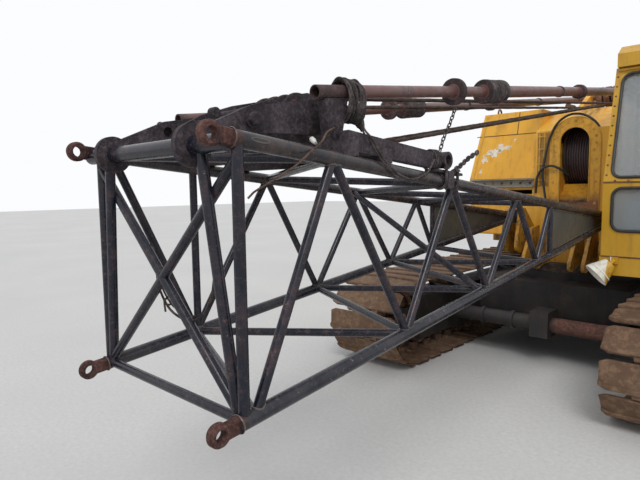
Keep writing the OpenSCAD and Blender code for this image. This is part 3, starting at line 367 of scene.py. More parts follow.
# A short tie of stiff wire holds the loop's two turns together.
tie_route = smooth_path([
    (-0.074, 0.158, -0.190), (-0.062, 0.148, -0.160), (-0.058, 0.146, -0.143),
    (-0.062, 0.160, -0.130), (-0.040, 0.164, -0.120), (-0.011, 0.158, -0.123),
    (-0.001, 0.152, -0.139), (-0.022, 0.146, -0.152), (-0.050, 0.144, -0.150),
    (-0.068, 0.150, -0.142)], 48)
piece("wire_tie", [rod(tie_route + BOOM_ORIGIN, 0.0045, 8)], wire_black, "boom")

# Floor and light
# A plain pale floor under a wide even sky, with one soft low lamp so that tubes and
# panels keep their form.
floor_half = 60.0
floor_mesh = bpy.data.meshes.new("floor")
floor_mesh.from_pydata(
    [(-floor_half, -floor_half, 0), (floor_half, -floor_half, 0),
     (floor_half, floor_half, 0), (-floor_half, floor_half, 0)], [], [(0, 1, 2, 3)])
floor = bpy.data.objects.new("floor", floor_mesh)
bpy.context.scene.collection.objects.link(floor)
floor_grit, g, out = group("floor_grit", {"Color": "Color", "Height": "Float"})
speck = noise(g["Vector"], 30.0, 6.0, 0.7)
worn = noise(g["Vector"], 0.35, 5.0, 0.6)
shade = mix(limits(worn, 0.35, 0.65), (0.56, 0.55, 0.54), (0.62, 0.61, 0.59))
shade = mix(limits(speck, 0.35, 0.75), shade, (0.50, 0.49, 0.48))
feed(out, Color=shade, Height=speck)
floor_mesh.materials.append(finish("floor", floor_grit, bump=0.15, distance=0.004, Roughness=0.92))

bpy.context.scene.view_settings.view_transform = "Standard"
sky = bpy.data.worlds.new("sky")
bpy.context.scene.world = sky
sky.use_nodes = True
sky_tree = sky.node_tree
overcast = sky_tree.nodes["Background"]
overcast.inputs["Color"].default_value = (0.94, 0.97, 1.0, 1)
overcast.inputs["Strength"].default_value = 0.80
bright = sky_tree.nodes.new("ShaderNodeBackground")
bright.inputs["Color"].default_value = (0.97, 0.98, 1.0, 1)
bright.inputs["Strength"].default_value = 1.0
rays = sky_tree.nodes.new("ShaderNodeLightPath").outputs
seen = math("MAXIMUM", rays["Is Camera Ray"], rays["Is Glossy Ray"])
seen = math("MAXIMUM", seen, rays["Is Transmission Ray"])
either = node("MixShader", {0: seen, 1: overcast.outputs[0], 2: bright.outputs[0]})
put(sky_tree.nodes["World Output"].inputs["Surface"], either.outputs[0])

lamp_data = bpy.data.lights.new("soft_sun", "SUN")
lamp_data.energy = 1.4
lamp_data.angle = np.radians(25)
lamp = bpy.data.objects.new("soft_sun", lamp_data)
lamp.rotation_euler = np.radians((42, 0, 38))
bpy.context.scene.collection.objects.link(lamp)

# Undercarriage
# A welded car body between two track frames, with the slewing ring on it and a tube for
# the propel shafts in front. Black paint under years of grease, dust and rust.


def dress(material, *names):
    """Gives CAD parts a material."""
    for name in names:
        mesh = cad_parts[name].data
        mesh.materials.clear()
        mesh.materials.append(material)


# Old paint: two tones of colour, chips down to bare or rusty steel with a rust rim,
# streaks of rust that run down, and grime in the hollows of a broad noise.
old_paint, g, out = group(
    "old_paint", Paint=(0.5, 0.3, 0.03), Faded=(0.6, 0.4, 0.1), Bare=(0.2, 0.2, 0.2),
    Rust=(0.16, 0.06, 0.025), Grime=(0.05, 0.04, 0.03), Scale=1.0, Chips=0.3, Streaks=0.3,
    Grime_Amount=0.3, Gloss=0.5)
place = node("VectorMath", {0: g["Vector"], "Scale": g["Scale"]}, operation="SCALE").outputs[0]
drawn_down = node("VectorMath", {0: place, 1: (9.0, 9.0, 0.7)}, operation="MULTIPLY").outputs[0]
broad = noise(place, 1.3, 5.0, 0.6)
middle = noise(place, 7.0, 6.0, 0.65)
fine = noise(place, 34.0, 6.0, 0.7)
tone = mix(limits(broad, 0.35, 0.65), g["Paint"], g["Faded"])
tone = mix(limits(middle, 0.45, 0.75, 0.0, 0.35), tone, g["Faded"])
runs = limits(noise(drawn_down, 1.4, 4.0, 0.7), 0.5, 0.72)
tone = mix(times(runs, g["Streaks"]), tone, g["Rust"])
dirt = limits(math("ADD", broad, middle), 1.0, 1.3)
tone = mix(times(dirt, g["Grime Amount"]), tone, g["Grime"])
wear = math("ADD", times(fine, 0.55), times(middle, 0.45))
edge = math("SUBTRACT", 0.74, times(g["Chips"], 0.24))
past_edge = math("SUBTRACT", wear, edge)
rim = limits(past_edge, 0.0, 0.02)
core = limits(past_edge, 0.025, 0.04)
tone = mix(rim, tone, g["Rust"])
tone = mix(times(core, 0.6), tone, g["Bare"])
dull = math("ADD", times(rim, 0.3), limits(middle, 0.3, 0.7, -0.08, 0.12))
feed(out, Color=tone, Roughness=math("ADD", g["Gloss"], dull), Metallic=times(core, 0.3),
     Height=math("SUBTRACT", times(middle, 0.3), rim))


def feed_two(out, vector, mask, first, second):
    """Feeds a skin group with the first of two effects where the mask is 0 and with the
    second where it is 1. Each is given as its group and the group's values."""
    a, b = (place_group(effect, vector, values) for effect, values in (first, second))
    feed(out, Color=mix(mask, a["Color"], b["Color"]),
         **{key: node("Mix", {0: mask, 2: a[key], 3: b[key]}).outputs[0]
            for key in ("Roughness", "Metallic", "Height")})


def blended(name, first, second, axis, low, high, ragged=0.03, scale=14.0):
    """A skin group that is the first effect below low on an axis and the second past high,
    with a ragged edge from noise."""
    tree, g, out = group(name)
    at = parts_of(g["Vector"])[axis]
    wander = math("SUBTRACT", noise(g["Vector"], scale), 0.5)
    at = math("ADD", at, times(wander, ragged * 4))
    feed_two(out, g["Vector"], limits(at, low, high), first, second)
    return tree


black_greased = dict(
    Paint=(0.015, 0.014, 0.015), Faded=(0.034, 0.030, 0.027), Bare=(0.10, 0.08, 0.06),
    Rust=(0.075, 0.032, 0.020), Grime=(0.052, 0.041, 0.031), Scale=1.4, Chips=0.55,
    Streaks=0.25, Grime_Amount=0.8, Gloss=0.62)
tube_red = dict(
    Scale=5.0, Dark=(0.070, 0.034, 0.028), Brown=(0.150, 0.058, 0.043),
    Orange=(0.27, 0.11, 0.06), Dust=(0.22, 0.15, 0.12), Dust_Amount=0.35)
frame_black = finish("frame_black", old_paint, bump=0.5, distance=0.004,
                     Specular_IOR_Level=0.22, **black_greased)
cast_rust = finish("cast_rust", rust_skin, "rusty_steel", bump=0.5, distance=0.003,
                   Scale=4.0, Orange_Amount=0.45, Dust_Amount=0.5)
tube_rust = finish("tube_rust", blended("tube_skin", (old_paint, black_greased),
                                        (rust_skin, tube_red), 0, 0.10, 0.16),
                   "rusty_steel", bump=0.4)
ring_grease = finish("ring_grease", rust_skin, "machined_steel", bump=0.6,
                     Dark=(0.016, 0.014, 0.013), Brown=(0.05, 0.036, 0.028), Scale=9.0,
                     Orange_Amount=0.1)
dress(frame_black, "car_body", "side_frames")
dress(tube_rust, "propel_shafts")
dress(cast_rust, "sprockets", "idlers", "track_rollers")
dress(ring_grease, "slewing_ring")


def bolts(name, places, axis, size, material, body, proud=0.55):
    """Hexagon bolt heads with a washer under each: every head is a lathe profile with six
    sides, its crown chamfered, standing out of the surface along the axis."""
    profile = np.array([(0.0, -0.1), (1.25, -0.1), (1.25, 0.12), (1.0, 0.13), (1.0, proud - 0.12),
                        (0.82, proud), (0.0, proud)]) * size / 2
    grids = [turned(profile, p, axis, 6) for p in places]
    return piece(name, grids, material, body, smooth=False, ends=False)


def band(inner, outer, half_in, half_out):
    """The profile of a ring: its two radii, and half its width at each."""
    return [(inner, -half_in), (outer, -half_out), (outer, half_out), (inner, half_in)]


# Bolts round the slewing ring's foot, and collars on the propel shafts' tube
ring_low, ring_high = (np.array(v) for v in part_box("slewing_ring"))
ring_mid = (ring_low + ring_high) / 2
ring_bolt_r = (ring_high[0] - ring_low[0]) / 2 + 0.018
bolt_ring = np.insert(circle(ring_bolt_r, 48), 2, 0.0, axis=1)
bolts("ring_bolts", bolt_ring + (ring_mid[0], ring_mid[1], ring_low[2] - 0.002), UP, 0.030,
      ring_grease, "undercarriage")
shaft_y, shaft_z, shaft_r = SLEW_Y - 1.130, 0.400, 0.076
collars = [turned(band(shaft_r, shaft_r + 0.014, 0.020, 0.018), (x, shaft_y, shaft_z), LEFT, 32)
           for x in (-0.62, -0.30)]
piece("shaft_collars", collars, tube_rust, "undercarriage", ends=False, loop=True)

# Bolts in the ends of the sprockets' and idlers' shafts, and of the rollers along the frames
wheel_y, wheel_z = 2.055, 0.435
for wheel, y, spread in (("sprocket", SLEW_Y - wheel_y, 0.052), ("idler", SLEW_Y + wheel_y, 0.044)):
    low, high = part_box(f"{wheel}s")
    for side, word in SIDES:
        face = high[0] if side > 0 else low[0]
        places = [(face, y + dy, wheel_z + dz) for dy, dz in circle(spread, 6)]
        bolts(f"{wheel}_bolts_{word}", places, (side, 0, 0), 0.022, cast_rust, "undercarriage")
frame_low, frame_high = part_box("side_frames")
for side, word in SIDES:
    face = frame_high[0] if side > 0 else frame_low[0]
    places = [(face, SLEW_Y + y + dy, frame_low[2] + 0.045)
              for y in np.linspace(-1.35, 1.35, 9) for dy in (-0.045, 0.045)]
    bolts(f"roller_bolts_{word}", places, (side, 0, 0), 0.026, cast_rust, "undercarriage")

# Tracks
# Each is a loop of wide cast shoes. A shoe is a flat plate with its outer corners cut and
# a low bar along one edge, joined to the next by square lugs with a pin through them.
track_x, track_long, track_tall = 1.27, 4.98, 0.87
shoe_wide, shoe_thick, shoe_count, shoe_gap = 0.80, 0.050, 43, 0.030
loop_r = track_tall / 2 - shoe_thick
straight = track_long - track_tall
loop_length = 2 * straight + 2 * np.pi * loop_r
shoe_long = loop_length / shoe_count - shoe_gap
round_steps, ridge_wide = 4, 0.034


def round_bar(half_s, low, high, ridge=0.0, edge=0.012):
    """A cross-section in (along, out): a rectangle with quarter-circle corners, whose far
    outer corner stands up by the ridge."""
    a = np.linspace(0, np.pi / 2, round_steps)
    c, s = edge * np.cos(a), edge * np.sin(a)
    slope = np.linspace(high, high - ridge, round_steps)
    return np.vstack([np.stack([half_s - edge + c, high - edge + s], 1),
                      np.stack([half_s - ridge_wide - s * 0.5, slope], 1),
                      np.stack([edge - half_s - s, high - edge - ridge + c], 1),
                      np.stack([edge - half_s - c, low + edge - s], 1),
                      np.stack([half_s - edge + s, low + edge - c], 1)])


def across_shoe(places, sections):
    """Cross-sections set at places across the shoe, as a grid of (across, along, out)."""
    return np.stack([np.insert(section, 0, u, axis=1) for u, section in zip(places, sections)])


def shoe_grids():
    """The pieces of one shoe as grids of (across, along, out) points."""
    u = np.array([-1, -0.995, -0.94, -0.86, -0.4, 0.0, 0.4, 0.86, 0.94, 0.995, 1])
    x = u * shoe_wide / 2
    far = np.abs(x) / shoe_wide * 2
    narrow = np.interp(far, [0, 0.86, 0.94, 0.995, 1], [1, 1, 0.88, 0.80, 0.78])
    thin = np.interp(far, [0, 0.985, 1], [0, 0, 0.010])
    grids = [across_shoe(x, [round_bar(shoe_long / 2 * n, 0.010 + t, shoe_thick - t, 0.014, 0.008)
                             for n, t in zip(narrow, thin)])]
    lug = round_bar(0.030, -0.012, shoe_thick - 0.016, edge=0.009)
    lug_x = np.array([-0.034, -0.031, 0.031, 0.034])
    for at, edge in ((-0.150, 1), (0.0, 1), (0.150, 1), (-0.075, -1), (0.075, -1)):
        grids.append(across_shoe(at + lug_x, [lug * (k, 1) + (edge * shoe_long / 2, 0)
                                              for k in (0.86, 1, 1, 0.86)]))
    rib = round_bar(0.055, -0.055, 0.012, edge=0.010)
    rib_x = np.array([-0.022, -0.018, 0.018, 0.022])
    for at in (-0.105, 0.105):
        grids.append(across_shoe(at + rib_x, [rib * (k, 1) for k in (0.8, 1, 1, 0.8)]))
    return grids


def round_loop(grid, side):
    """Copies of a shoe's grid round the loop, which is straight, a half circle, straight
    and a half circle. A point's turn a and the loop's middle there follow from the place
    of its shoe, and its distance out is measured square to the loop. Shoes lie flat, so
    those on the half circles sink in a little."""
    s = (np.arange(shoe_count) + 0.5)[:, None, None] * loop_length / shoe_count
    bends = [0, straight, loop_length / 2, loop_length / 2 + straight, loop_length]
    a = np.interp(s, bends, [0, 0, np.pi, np.pi, 2 * np.pi])
    mid_y = np.interp(s, bends, np.array([-1, 1, 1, -1, -1]) * straight / 2)
    sunk = np.where(np.isclose(np.sin(a), 0), 0.0, 0.0135)
    r, along = loop_r + grid[None, ..., 2] - sunk, grid[None, ..., 1]
    y = mid_y + r * np.sin(a) + along * np.cos(a)
    z = track_tall / 2 - r * np.cos(a) + along * np.sin(a)
    x = side * track_x + grid[None, ..., 0] + 0 * y
    return list(np.stack([x, y + SLEW_Y, z], -1))


shoe_rust = finish(
    "shoe_rust", rust_skin, "track_steel", bump=0.16, distance=0.0018, Scale=2.2,
    Dark=(0.098, 0.055, 0.033), Brown=(0.150, 0.086, 0.050), Orange=(0.24, 0.105, 0.045),
    Dust=(0.25, 0.180, 0.120), Orange_Amount=0.45, Dust_Amount=0.45)
for side, word in SIDES:
    grids = [grid for part in shoe_grids() for grid in round_loop(part, side)]
    shoes = piece(f"track_{word}_shoes", grids, shoe_rust, "undercarriage")
    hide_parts(f"track_{word}")

# Revolving frame and counterweight
# A welded frame turns on the ring and carries the boom's foot, the house and the cab. Its
# plates are yellow, but the deep middle is black with grease. The counterweight is cast.
YELLOW, PALE_YELLOW = (0.74, 0.345, 0.018), (0.80, 0.43, 0.045)
house_yellow = finish(
    "house_yellow", old_paint, bump=0.2, Paint=YELLOW, Faded=PALE_YELLOW,
    Bare=(0.62, 0.57, 0.48), Rust=(0.26, 0.105, 0.03), Grime=(0.38, 0.19, 0.03), Scale=1.0,
    Chips=0.22, Streaks=0.38, Grime_Amount=0.32, Gloss=0.40)
greasy = dict(
    Paint=(0.42, 0.20, 0.015), Faded=(0.52, 0.26, 0.03), Bare=(0.16, 0.13, 0.10),
    Rust=(0.10, 0.04, 0.02), Grime=(0.035, 0.026, 0.018), Scale=2.8, Chips=0.5,
    Streaks=0.9, Grime_Amount=0.95, Gloss=0.5)
greasy_yellow = finish("greasy_yellow", old_paint, bump=0.4, **greasy)
# Below about 1.65 m the drum's guard is reddish-brown and much darker. The reddish-brown is its paint;
# the darkening is painted shade behind the boom's foot.
red_brown_and_shade = dict(greasy, Paint=(0.26, 0.100, 0.035), Faded=(0.20, 0.085, 0.040))
guard_paint = dict(
    Paint=YELLOW, Faded=PALE_YELLOW, Bare=(0.30, 0.20, 0.10), Rust=(0.20, 0.075, 0.022),
    Grime=(0.26, 0.125, 0.022), Scale=2.2, Chips=0.45, Streaks=0.7, Grime_Amount=0.7, Gloss=0.45)
guard_yellow = finish("guard_yellow", blended("guard_skin", (old_paint, red_brown_and_shade),
                                              (old_paint, guard_paint), 2, 1.60, 1.70), bump=0.25)
engine_grey = finish(
    "engine_grey", old_paint, bump=0.4, Paint=(0.075, 0.08, 0.075), Faded=(0.13, 0.13, 0.12),
    Grime=(0.02, 0.017, 0.014), Scale=3.0, Chips=0.5, Streaks=0.5, Grime_Amount=0.9, Gloss=0.5)
exhaust_rust = finish("exhaust_rust", rust_skin, "rusty_steel", bump=0.5, Scale=12.0,
                      Orange_Amount=0.6)
dress(guard_yellow, "drum_guard")
dress(greasy_yellow, "revolving_frame")
dress(ring_grease, "boom_foot_pins")
dress(house_yellow, "counterweight", "house_shell", "house_door_front", "house_door_rear",
      "house_door_left", "gantry")
dress(cast_rust, "gantry_head")
dress(engine_grey, "engine_block")
dress(exhaust_rust, "exhaust")

# House
# Sheet panels on a frame, with sloping fronts and sides. The seams, channels, bolts and
# hoses below are fixed to its outside; the sizes follow its CAD walls.
front_y = SLEW_Y - 0.250                  # upright part of the front
belt_z, roof_z, front_lean = 1.870, 2.680, 0.200
panel_x0, panel_x1 = -1.235, -0.446       # the sloping panel, from the right side to the guard
panel_low, panel_top = 1.765, 2.672
arch_x, arch_z, arch_r, arch_half = -0.020, 2.264, 0.266, 0.150
side_x = 1.265
lean_dir = unit(np.array((0.0, -(roof_z - belt_z), front_lean)))


def on_house(x, z, proud=0.0):
    """A point on the house's front: upright, then leaning back above the belt."""
    return (x, front_y + front_lean * np.clip((z - belt_z) / (roof_z - belt_z), 0, 1) - proud, z)


def strip(start, end, wide, thick, normal):
    """A flat bar from start to end, wide across and lying on a surface with that normal:
    a rounded rectangle carried along a straight line."""
    start, end, normal = (np.asarray(v, float) for v in (start, end, normal))
    along = unit(end - start)
    across = unit(np.cross(normal, along))
    outward = np.cross(along, across) * np.sign(np.dot(np.cross(along, across), normal))
    edge = min(thick, wide) * 0.3
    ring = np.array([(wide / 2, 0), (wide / 2, thick - edge), (wide / 2 - edge, thick),
                     (edge - wide / 2, thick), (-wide / 2, thick - edge), (-wide / 2, 0)])
    return np.stack([start, end])[:, None] + ring[:, :1] * across + ring[:, 1:] * outward


def strips(name, rows, material, body):
    """Flat bars as one piece, each row holding what strip takes."""
    return piece(name, [strip(*row) for row in rows], material, body, smooth=False)


seam_dark = finish("seam_dark", old_paint, "yellow_paint", Paint=(0.16, 0.075, 0.015),
                   Faded=(0.10, 0.045, 0.02), Scale=6.0, Chips=0.6, Gloss=0.7)
grey_trim = finish(
    "grey_trim", old_paint, "grey_iron", bump=0.3, Paint=(0.22, 0.20, 0.16),
    Faded=(0.30, 0.27, 0.21), Rust=(0.15, 0.055, 0.022), Scale=4.0, Chips=0.5, Streaks=0.4,
    Grime_Amount=0.6, Gloss=0.6)
yellow_trim = finish(
    "yellow_trim", old_paint, "yellow_paint", bump=0.3, Paint=(0.60, 0.30, 0.02),
    Faded=(0.70, 0.40, 0.06), Rust=(0.20, 0.08, 0.03), Bare=(0.4, 0.35, 0.28), Scale=3.0,
    Chips=0.45, Streaks=0.5, Grime_Amount=0.5, Gloss=0.45)
black_rubber = finish(
    "black_rubber", old_paint, "black_vinyl", Paint=(0.012, 0.012, 0.013),
    Faded=(0.03, 0.028, 0.026), Grime=(0.06, 0.05, 0.035), Bare=(0.03, 0.03, 0.03),
    Rust=(0.02, 0.018, 0.016), Scale=5.0, Gloss=0.55)

seam_z, seam_x = 2.405, -0.720
strips("house_front_seams", [
    (on_house(panel_x0, seam_z), on_house(panel_x1 - 0.01, seam_z), 0.010, 0.003, lean_dir),
    (on_house(seam_x, seam_z), on_house(seam_x, panel_top), 0.009, 0.003, lean_dir),
    (on_house(panel_x0 - 0.02, belt_z), on_house(panel_x1 - 0.01, belt_z), 0.010, 0.003, lean_dir)],
    seam_dark, "upper")
edges = []
for x, top_x, top_z, wide, thick in ((panel_x1 - 0.018, panel_x1 - 0.018, panel_top, 0.030, 0.008),
                                     (-1.222, -1.125, 2.66, 0.026, 0.006)):
    low, belt, top = (on_house(*at, 0.001) for at in ((x, panel_low), (x, belt_z), (top_x, top_z)))
    edges += [(low, belt, wide, thick, FORWARD), (belt, top, wide, thick, lean_dir)]
strips("house_front_edges", edges, yellow_trim, "upper")
# Grey channel under the front panel, with bolts
strips("front_channel", [
    ((-1.225, front_y, z), (-0.455, front_y, z), wide, thick, FORWARD)
    for z, wide, thick in ((1.862, 0.016, 0.052), (1.778, 0.016, 0.052), (1.820, 0.080, 0.010))],
    grey_trim, "upper")
bolts("channel_bolts", [(x, front_y - 0.012, 1.82) for x in np.linspace(-1.18, -0.50, 7)],
      FORWARD, 0.026, cast_rust, "upper")
# Flange of the drum's guard: a row of bolts between the opening and the edge
flange_y = front_y - 0.012
flange_r = (arch_r + arch_half) / 2 + 0.012
flange_bolts = [(arch_x + flange_r * np.cos(a), flange_y, arch_z + flange_r * np.sin(a))
                for a in np.linspace(-0.15 * np.pi, 1.15 * np.pi, 13)]
flange_bolts += [(arch_x + side * flange_r, flange_y, z)
                 for side in (-1, 1) for z in np.arange(2.06, 1.30, -0.118)]
bolts("flange_bolts", flange_bolts, FORWARD, 0.027, yellow_trim, "upper")


def arch_weld(name, r, low, y):
    """A bead up one side of the arch, round it and down the other."""
    top = oval((arch_x, y, arch_z), (r, 0, 0), (0, 0, r), np.linspace(np.pi, 0, 25))
    path = np.vstack([[(arch_x - r, y, low)], top, [(arch_x + r, y, low)]])
    return piece(name, [rod(path, 0.007, 8)], yellow_trim, "upper")


arch_weld("drum_opening_lip", arch_half + 0.006, 1.602, front_y - 0.015)
arch_weld("guard_edge_weld", arch_r - 0.004, 1.30, front_y - 0.006)

# A bundle of black hoses that climbs round the arch, and one that goes in under the drum.
# Routes run in (x, distance from the front, z).
hoses = {
    "hose_arch": [(-0.300, -0.05, 1.60), (-0.345, -0.045, 1.90), (-0.325, -0.04, 2.10),
                  (-0.285, -0.035, 2.30), (-0.205, -0.03, 2.47), (-0.08, -0.025, 2.555),
                  (0.06, -0.02, 2.545), (0.17, 0.0, 2.47), (0.235, 0.02, 2.37)],
    "hose_low": [(-0.425, -0.03, 1.70), (-0.405, -0.05, 1.88), (-0.34, -0.06, 1.98),
                 (-0.25, -0.055, 2.005), (-0.17, -0.04, 1.975), (-0.12, -0.005, 1.93),
                 (-0.10, 0.05, 1.91)]}
for name, route in hoses.items():
    path = smooth_path(np.array(route) + (0, front_y, 0), 40)
    piece(name, [rod(path, 0.013, 10)], black_rubber, "upper")

# Narrow strip beside the guard: a worn plate with two pale rails and rungs across them
worn_strip = finish(
    "worn_strip", old_paint, "yellow_paint", bump=0.4, Paint=(0.36, 0.165, 0.025),
    Faded=(0.44, 0.24, 0.05), Rust=(0.12, 0.046, 0.020), Grime=(0.17, 0.085, 0.030), Scale=6.0,
    Chips=0.7, Streaks=0.9, Grime_Amount=0.8, Gloss=0.6)
strips("strip_plate", [((-0.360, front_y, 1.78), (-0.360, front_y, 2.385), 0.128, 0.004, FORWARD)],
       worn_strip, "upper")
rail_y, rung_y = front_y - 0.004, front_y - 0.020
strips("strip_rails",
       [((x, rail_y, 1.79), (x, rail_y, 2.375), 0.016, 0.018, FORWARD) for x in (-0.398, -0.345)]
       + [((-0.420, rung_y, z), (-0.322, rung_y, z), 0.014, 0.005, FORWARD)
          for z in (1.85, 2.03, 2.20, 2.34)], yellow_trim, "upper")

# Patches where the paint has flaked to pale primer on the sloping front: flat lips round a
# wavy outline, r = R (1 + 0.35 sin 3a + 0.25 sin 5a + 0.15 sin 9a)
primer_white = finish(
    "primer_white", old_paint, "yellow_paint", bump=0.2, Paint=(0.78, 0.72, 0.62),
    Faded=(0.70, 0.58, 0.40), Rust=(0.30, 0.13, 0.05), Scale=9.0, Chips=0.4, Streaks=0.3, Gloss=0.6)
slope_up = unit(np.array((0.0, front_lean, roof_z - belt_z)))
flake_thick = 0.0006
flakes = [  # x, z, half width, half height, phase
    (-0.98, 2.20, 0.060, 0.050, 0.0), (-0.88, 2.25, 0.085, 0.040, 1.4),
    (-1.10, 2.12, 0.035, 0.045, 2.2), (-1.05, 2.19, 0.040, 0.022, 3.1),
    (-0.74, 2.34, 0.012, 0.015, 0.5), (-1.13, 1.97, 0.015, 0.030, 4.0)]
a = angles(36)
patches = []
for x, z, wide, tall, phase in flakes:
    wavy = (1 + 0.35 * np.sin(3 * a + phase) + 0.25 * np.sin(5 * a - phase)
            + 0.15 * np.sin(9 * a))
    ring = (np.array(on_house(x, z, flake_thick)) + (wavy * np.cos(a) * wide)[:, None] * LEFT
            + (wavy * np.sin(a) * tall)[:, None] * slope_up)
    patches.append(np.stack([ring, ring + flake_thick * lean_dir]))
piece("flaked_patches", patches, primer_white, "upper", smooth=False)

# Louvres and a grab handle on each door
house_doors = {  # side, front and rear edge and handle, from the slewing axis
    "house_door_front": (-1, -0.040, 1.020, 0.910), "house_door_rear": (-1, 1.060, 2.260, 1.170),
    "house_door_left": (1, 0.300, 1.500, 0.410)}
for body, (side, front, rear, grip) in house_doors.items():
    x, front, rear, grip = side * side_x, SLEW_Y + front, SLEW_Y + rear, SLEW_Y + grip
    strips(f"{body}_louvres", [
        ((x, front + 0.16, z), (x, rear - 0.16, z), 0.030, 0.014, (side, 0, 0.5))
        for z in np.arange(1.44, 1.80, 0.055)], yellow_trim, body)
    grip_path = smooth_path([(x, grip, 1.53), (x + side * 0.035, grip, 1.55),
                             (x + side * 0.035, grip, 1.67), (x, grip, 1.69)], 18)
    piece(f"{body}_handle", [rod(grip_path, 0.008, 8)], cast_rust, body)
rear_y = SLEW_Y + 2.350
strips("rear_grille", [((-0.95, rear_y, z), (0.95, rear_y, z), 0.040, 0.020, (0, 1, 0.6))
                       for z in np.arange(2.14, 2.58, 0.062)], yellow_trim, "upper")

# Lifting eyes on the roof, and ribs that stiffen it
eyes = [rod(oval((x, SLEW_Y + y, roof_z + 0.028), (0, 0.045, 0), (0, 0, 0.045), angles(24)),
            0.011, 10, closed=True) for x in (-1.05, 1.05) for y in (0.12, 2.2)]
piece("roof_eyes", eyes, cast_rust, "upper", loop=True)
strips("roof_ribs", [((-1.14, SLEW_Y + y, roof_z), (1.14, SLEW_Y + y, roof_z), 0.030, 0.012, UP)
                     for y in (0.62, 1.18, 1.52, 2.05)], yellow_trim, "upper")

# Counterweight's tie bolts on washers, its lifting eyes and its seams
tail_r = 3.150
weight_low, weight_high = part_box("counterweight")
tie_bolt = [(0.0, -0.004), (0.052, -0.004), (0.052, 0.008), (0.034, 0.012), (0.032, 0.034),
            (0.020, 0.042), (0.0, 0.042)]
heads = []
for a in np.radians((-15, -6, 6, 15)):
    out_dir = np.array((tail_r * np.sin(a), tail_r * np.cos(a), 0))
    heads += [turned(tie_bolt, out_dir + (0, SLEW_Y, z), out_dir, 20) for z in (1.22, 1.80)]
piece("weight_bolts", heads, cast_rust, "upper", ends=False)
a = np.linspace(-0.1 * np.pi, 1.1 * np.pi, 20)
eyes = [rod(oval((x, SLEW_Y + 2.66, weight_high[2] + 0.005), (0.065, 0, 0), (0, 0, 0.070), a),
            0.014, 10) for x in (-0.85, 0.85)]
piece("weight_eyes", eyes, cast_rust, "upper")
seams = []
for x in (-0.42, 0.42):
    y = SLEW_Y + np.sqrt(tail_r**2 - x**2) - 0.0005
    seams.append(((x, y, weight_low[2] + 0.02), (x, y, weight_high[2] - 0.02), 0.012, 0.004,
                  (x, tail_r, 0)))
strips("weight_seams", seams, seam_dark, "upper")
# Exhaust: a flange with bolts where it leaves the roof, and clamps round the silencer
pipe = np.array((-0.700, SLEW_Y + 1.700, roof_z))
rings = [turned([(0.045, 0.0), (0.078, 0.0), (0.078, 0.010), (0.045, 0.010)], pipe, UP, 32)]
rings += [turned(band(0.030, 0.035, 0.008, 0.007), pipe + (0, dy, 0.240), (0, 1, 0), 28)
          for dy in (-0.10, 0.10)]
piece("exhaust_rings", rings, exhaust_rust, "upper", ends=False, loop=True)
bolts("exhaust_bolts", pipe + np.insert(circle(0.062, 4), 2, 0.010, axis=1), UP, 0.016,
      exhaust_rust, "upper")
# Gantry: four bolts in each foot, and a locking plate with two bolts on the head shaft's ends
HEAD = np.array((0.0, SLEW_Y + 1.250, 2.930))  # middle of the head shaft
foot_x, lock_z = 0.300, HEAD[2] + 0.052
feet = [(side * foot_x + dx, HEAD[1] + y + dy, roof_z + 0.020) for side in (-1, 1)
        for y in (-0.560, 0.960) for dx in (-0.046, 0.046) for dy in (-0.072, 0.072)]
bolts("gantry_foot_bolts", feet, UP, 0.022, cast_rust, "upper")
for side, word in SIDES:
    low, high = ((side * 0.330, HEAD[1] + dy, lock_z) for dy in (-0.060, 0.060))
    strips(f"shaft_lock_{word}", [(low, high, 0.030, 0.010, (side, 0, 0))], grey_trim, "upper")
    places = [(side * 0.340, HEAD[1] + dy, lock_z) for dy in (-0.045, 0.045)]
    bolts(f"shaft_lock_bolts_{word}", places, (side, 0, 0), 0.018, cast_rust, "upper")

# Rope on the drum
# Wire rope wound in one layer that stands out in rounded turns, with a flange at each end.
drum_low, drum_high = (np.array(v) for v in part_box("main_drum"))
drum_mid = (drum_low + drum_high) / 2
rope_pitch, rope_half, drum_r = 0.0265, 0.130, 0.325
rope_coat = finish(
    "rope_coat", rust_skin, "greased_rope", bump=0.6, Dark=(0.018, 0.013, 0.011),
    Brown=(0.060, 0.036, 0.026), Orange=(0.16, 0.07, 0.035), Scale=14.0, Orange_Amount=0.25,
    Dust_Amount=0.1)
dress(rope_coat, "main_drum")
turns_x = np.linspace(-rope_half, rope_half, 81)
wound = 0.3385 + 0.0075 * np.abs(np.sin(np.pi * turns_x / rope_pitch)) - 0.0040
profile = np.vstack([[(drum_r, -rope_half - 0.0035)], np.column_stack([wound, turns_x]),
                     [(drum_r, rope_half + 0.0035)]])
# Painted shade in the turns' hollows: a coat that follows |sin(pi x / pitch)|, near black between the
# turns and dark purple on their crests
wound_groove_shade, g, out = group("wound_groove_shade", {"Color": "Color", "Roughness": "Float",
                                          "Height": "Float"})
across = math("ADD", parts_of(g["Vector"])[0],
              times(noise(g["Vector"], 3.0), 0.004))
turn = times(math("SUBTRACT", across, drum_mid[0]), np.pi / rope_pitch)
crest = math("ABSOLUTE", math("SINE", turn))
fine = noise(g["Vector"], 60.0)
tone = mix(limits(crest, 0.25, 0.95),
           (0.006, 0.005, 0.007), (0.062, 0.036, 0.040))
tone = mix(limits(fine, 0.5, 0.7, 0.0, 0.5), tone, (0.10, 0.06, 0.055))
feed(out, Color=tone, Height=fine,
     Roughness=limits(crest, 0.0, 1.0, 0.85, 0.5))
drum_coat = finish("drum_coat", wound_groove_shade, "greased_rope", bump=0.3)
piece("drum_rope", [turned(profile, drum_mid, LEFT, 72)], drum_coat, "drum", ends=False, loop=True)

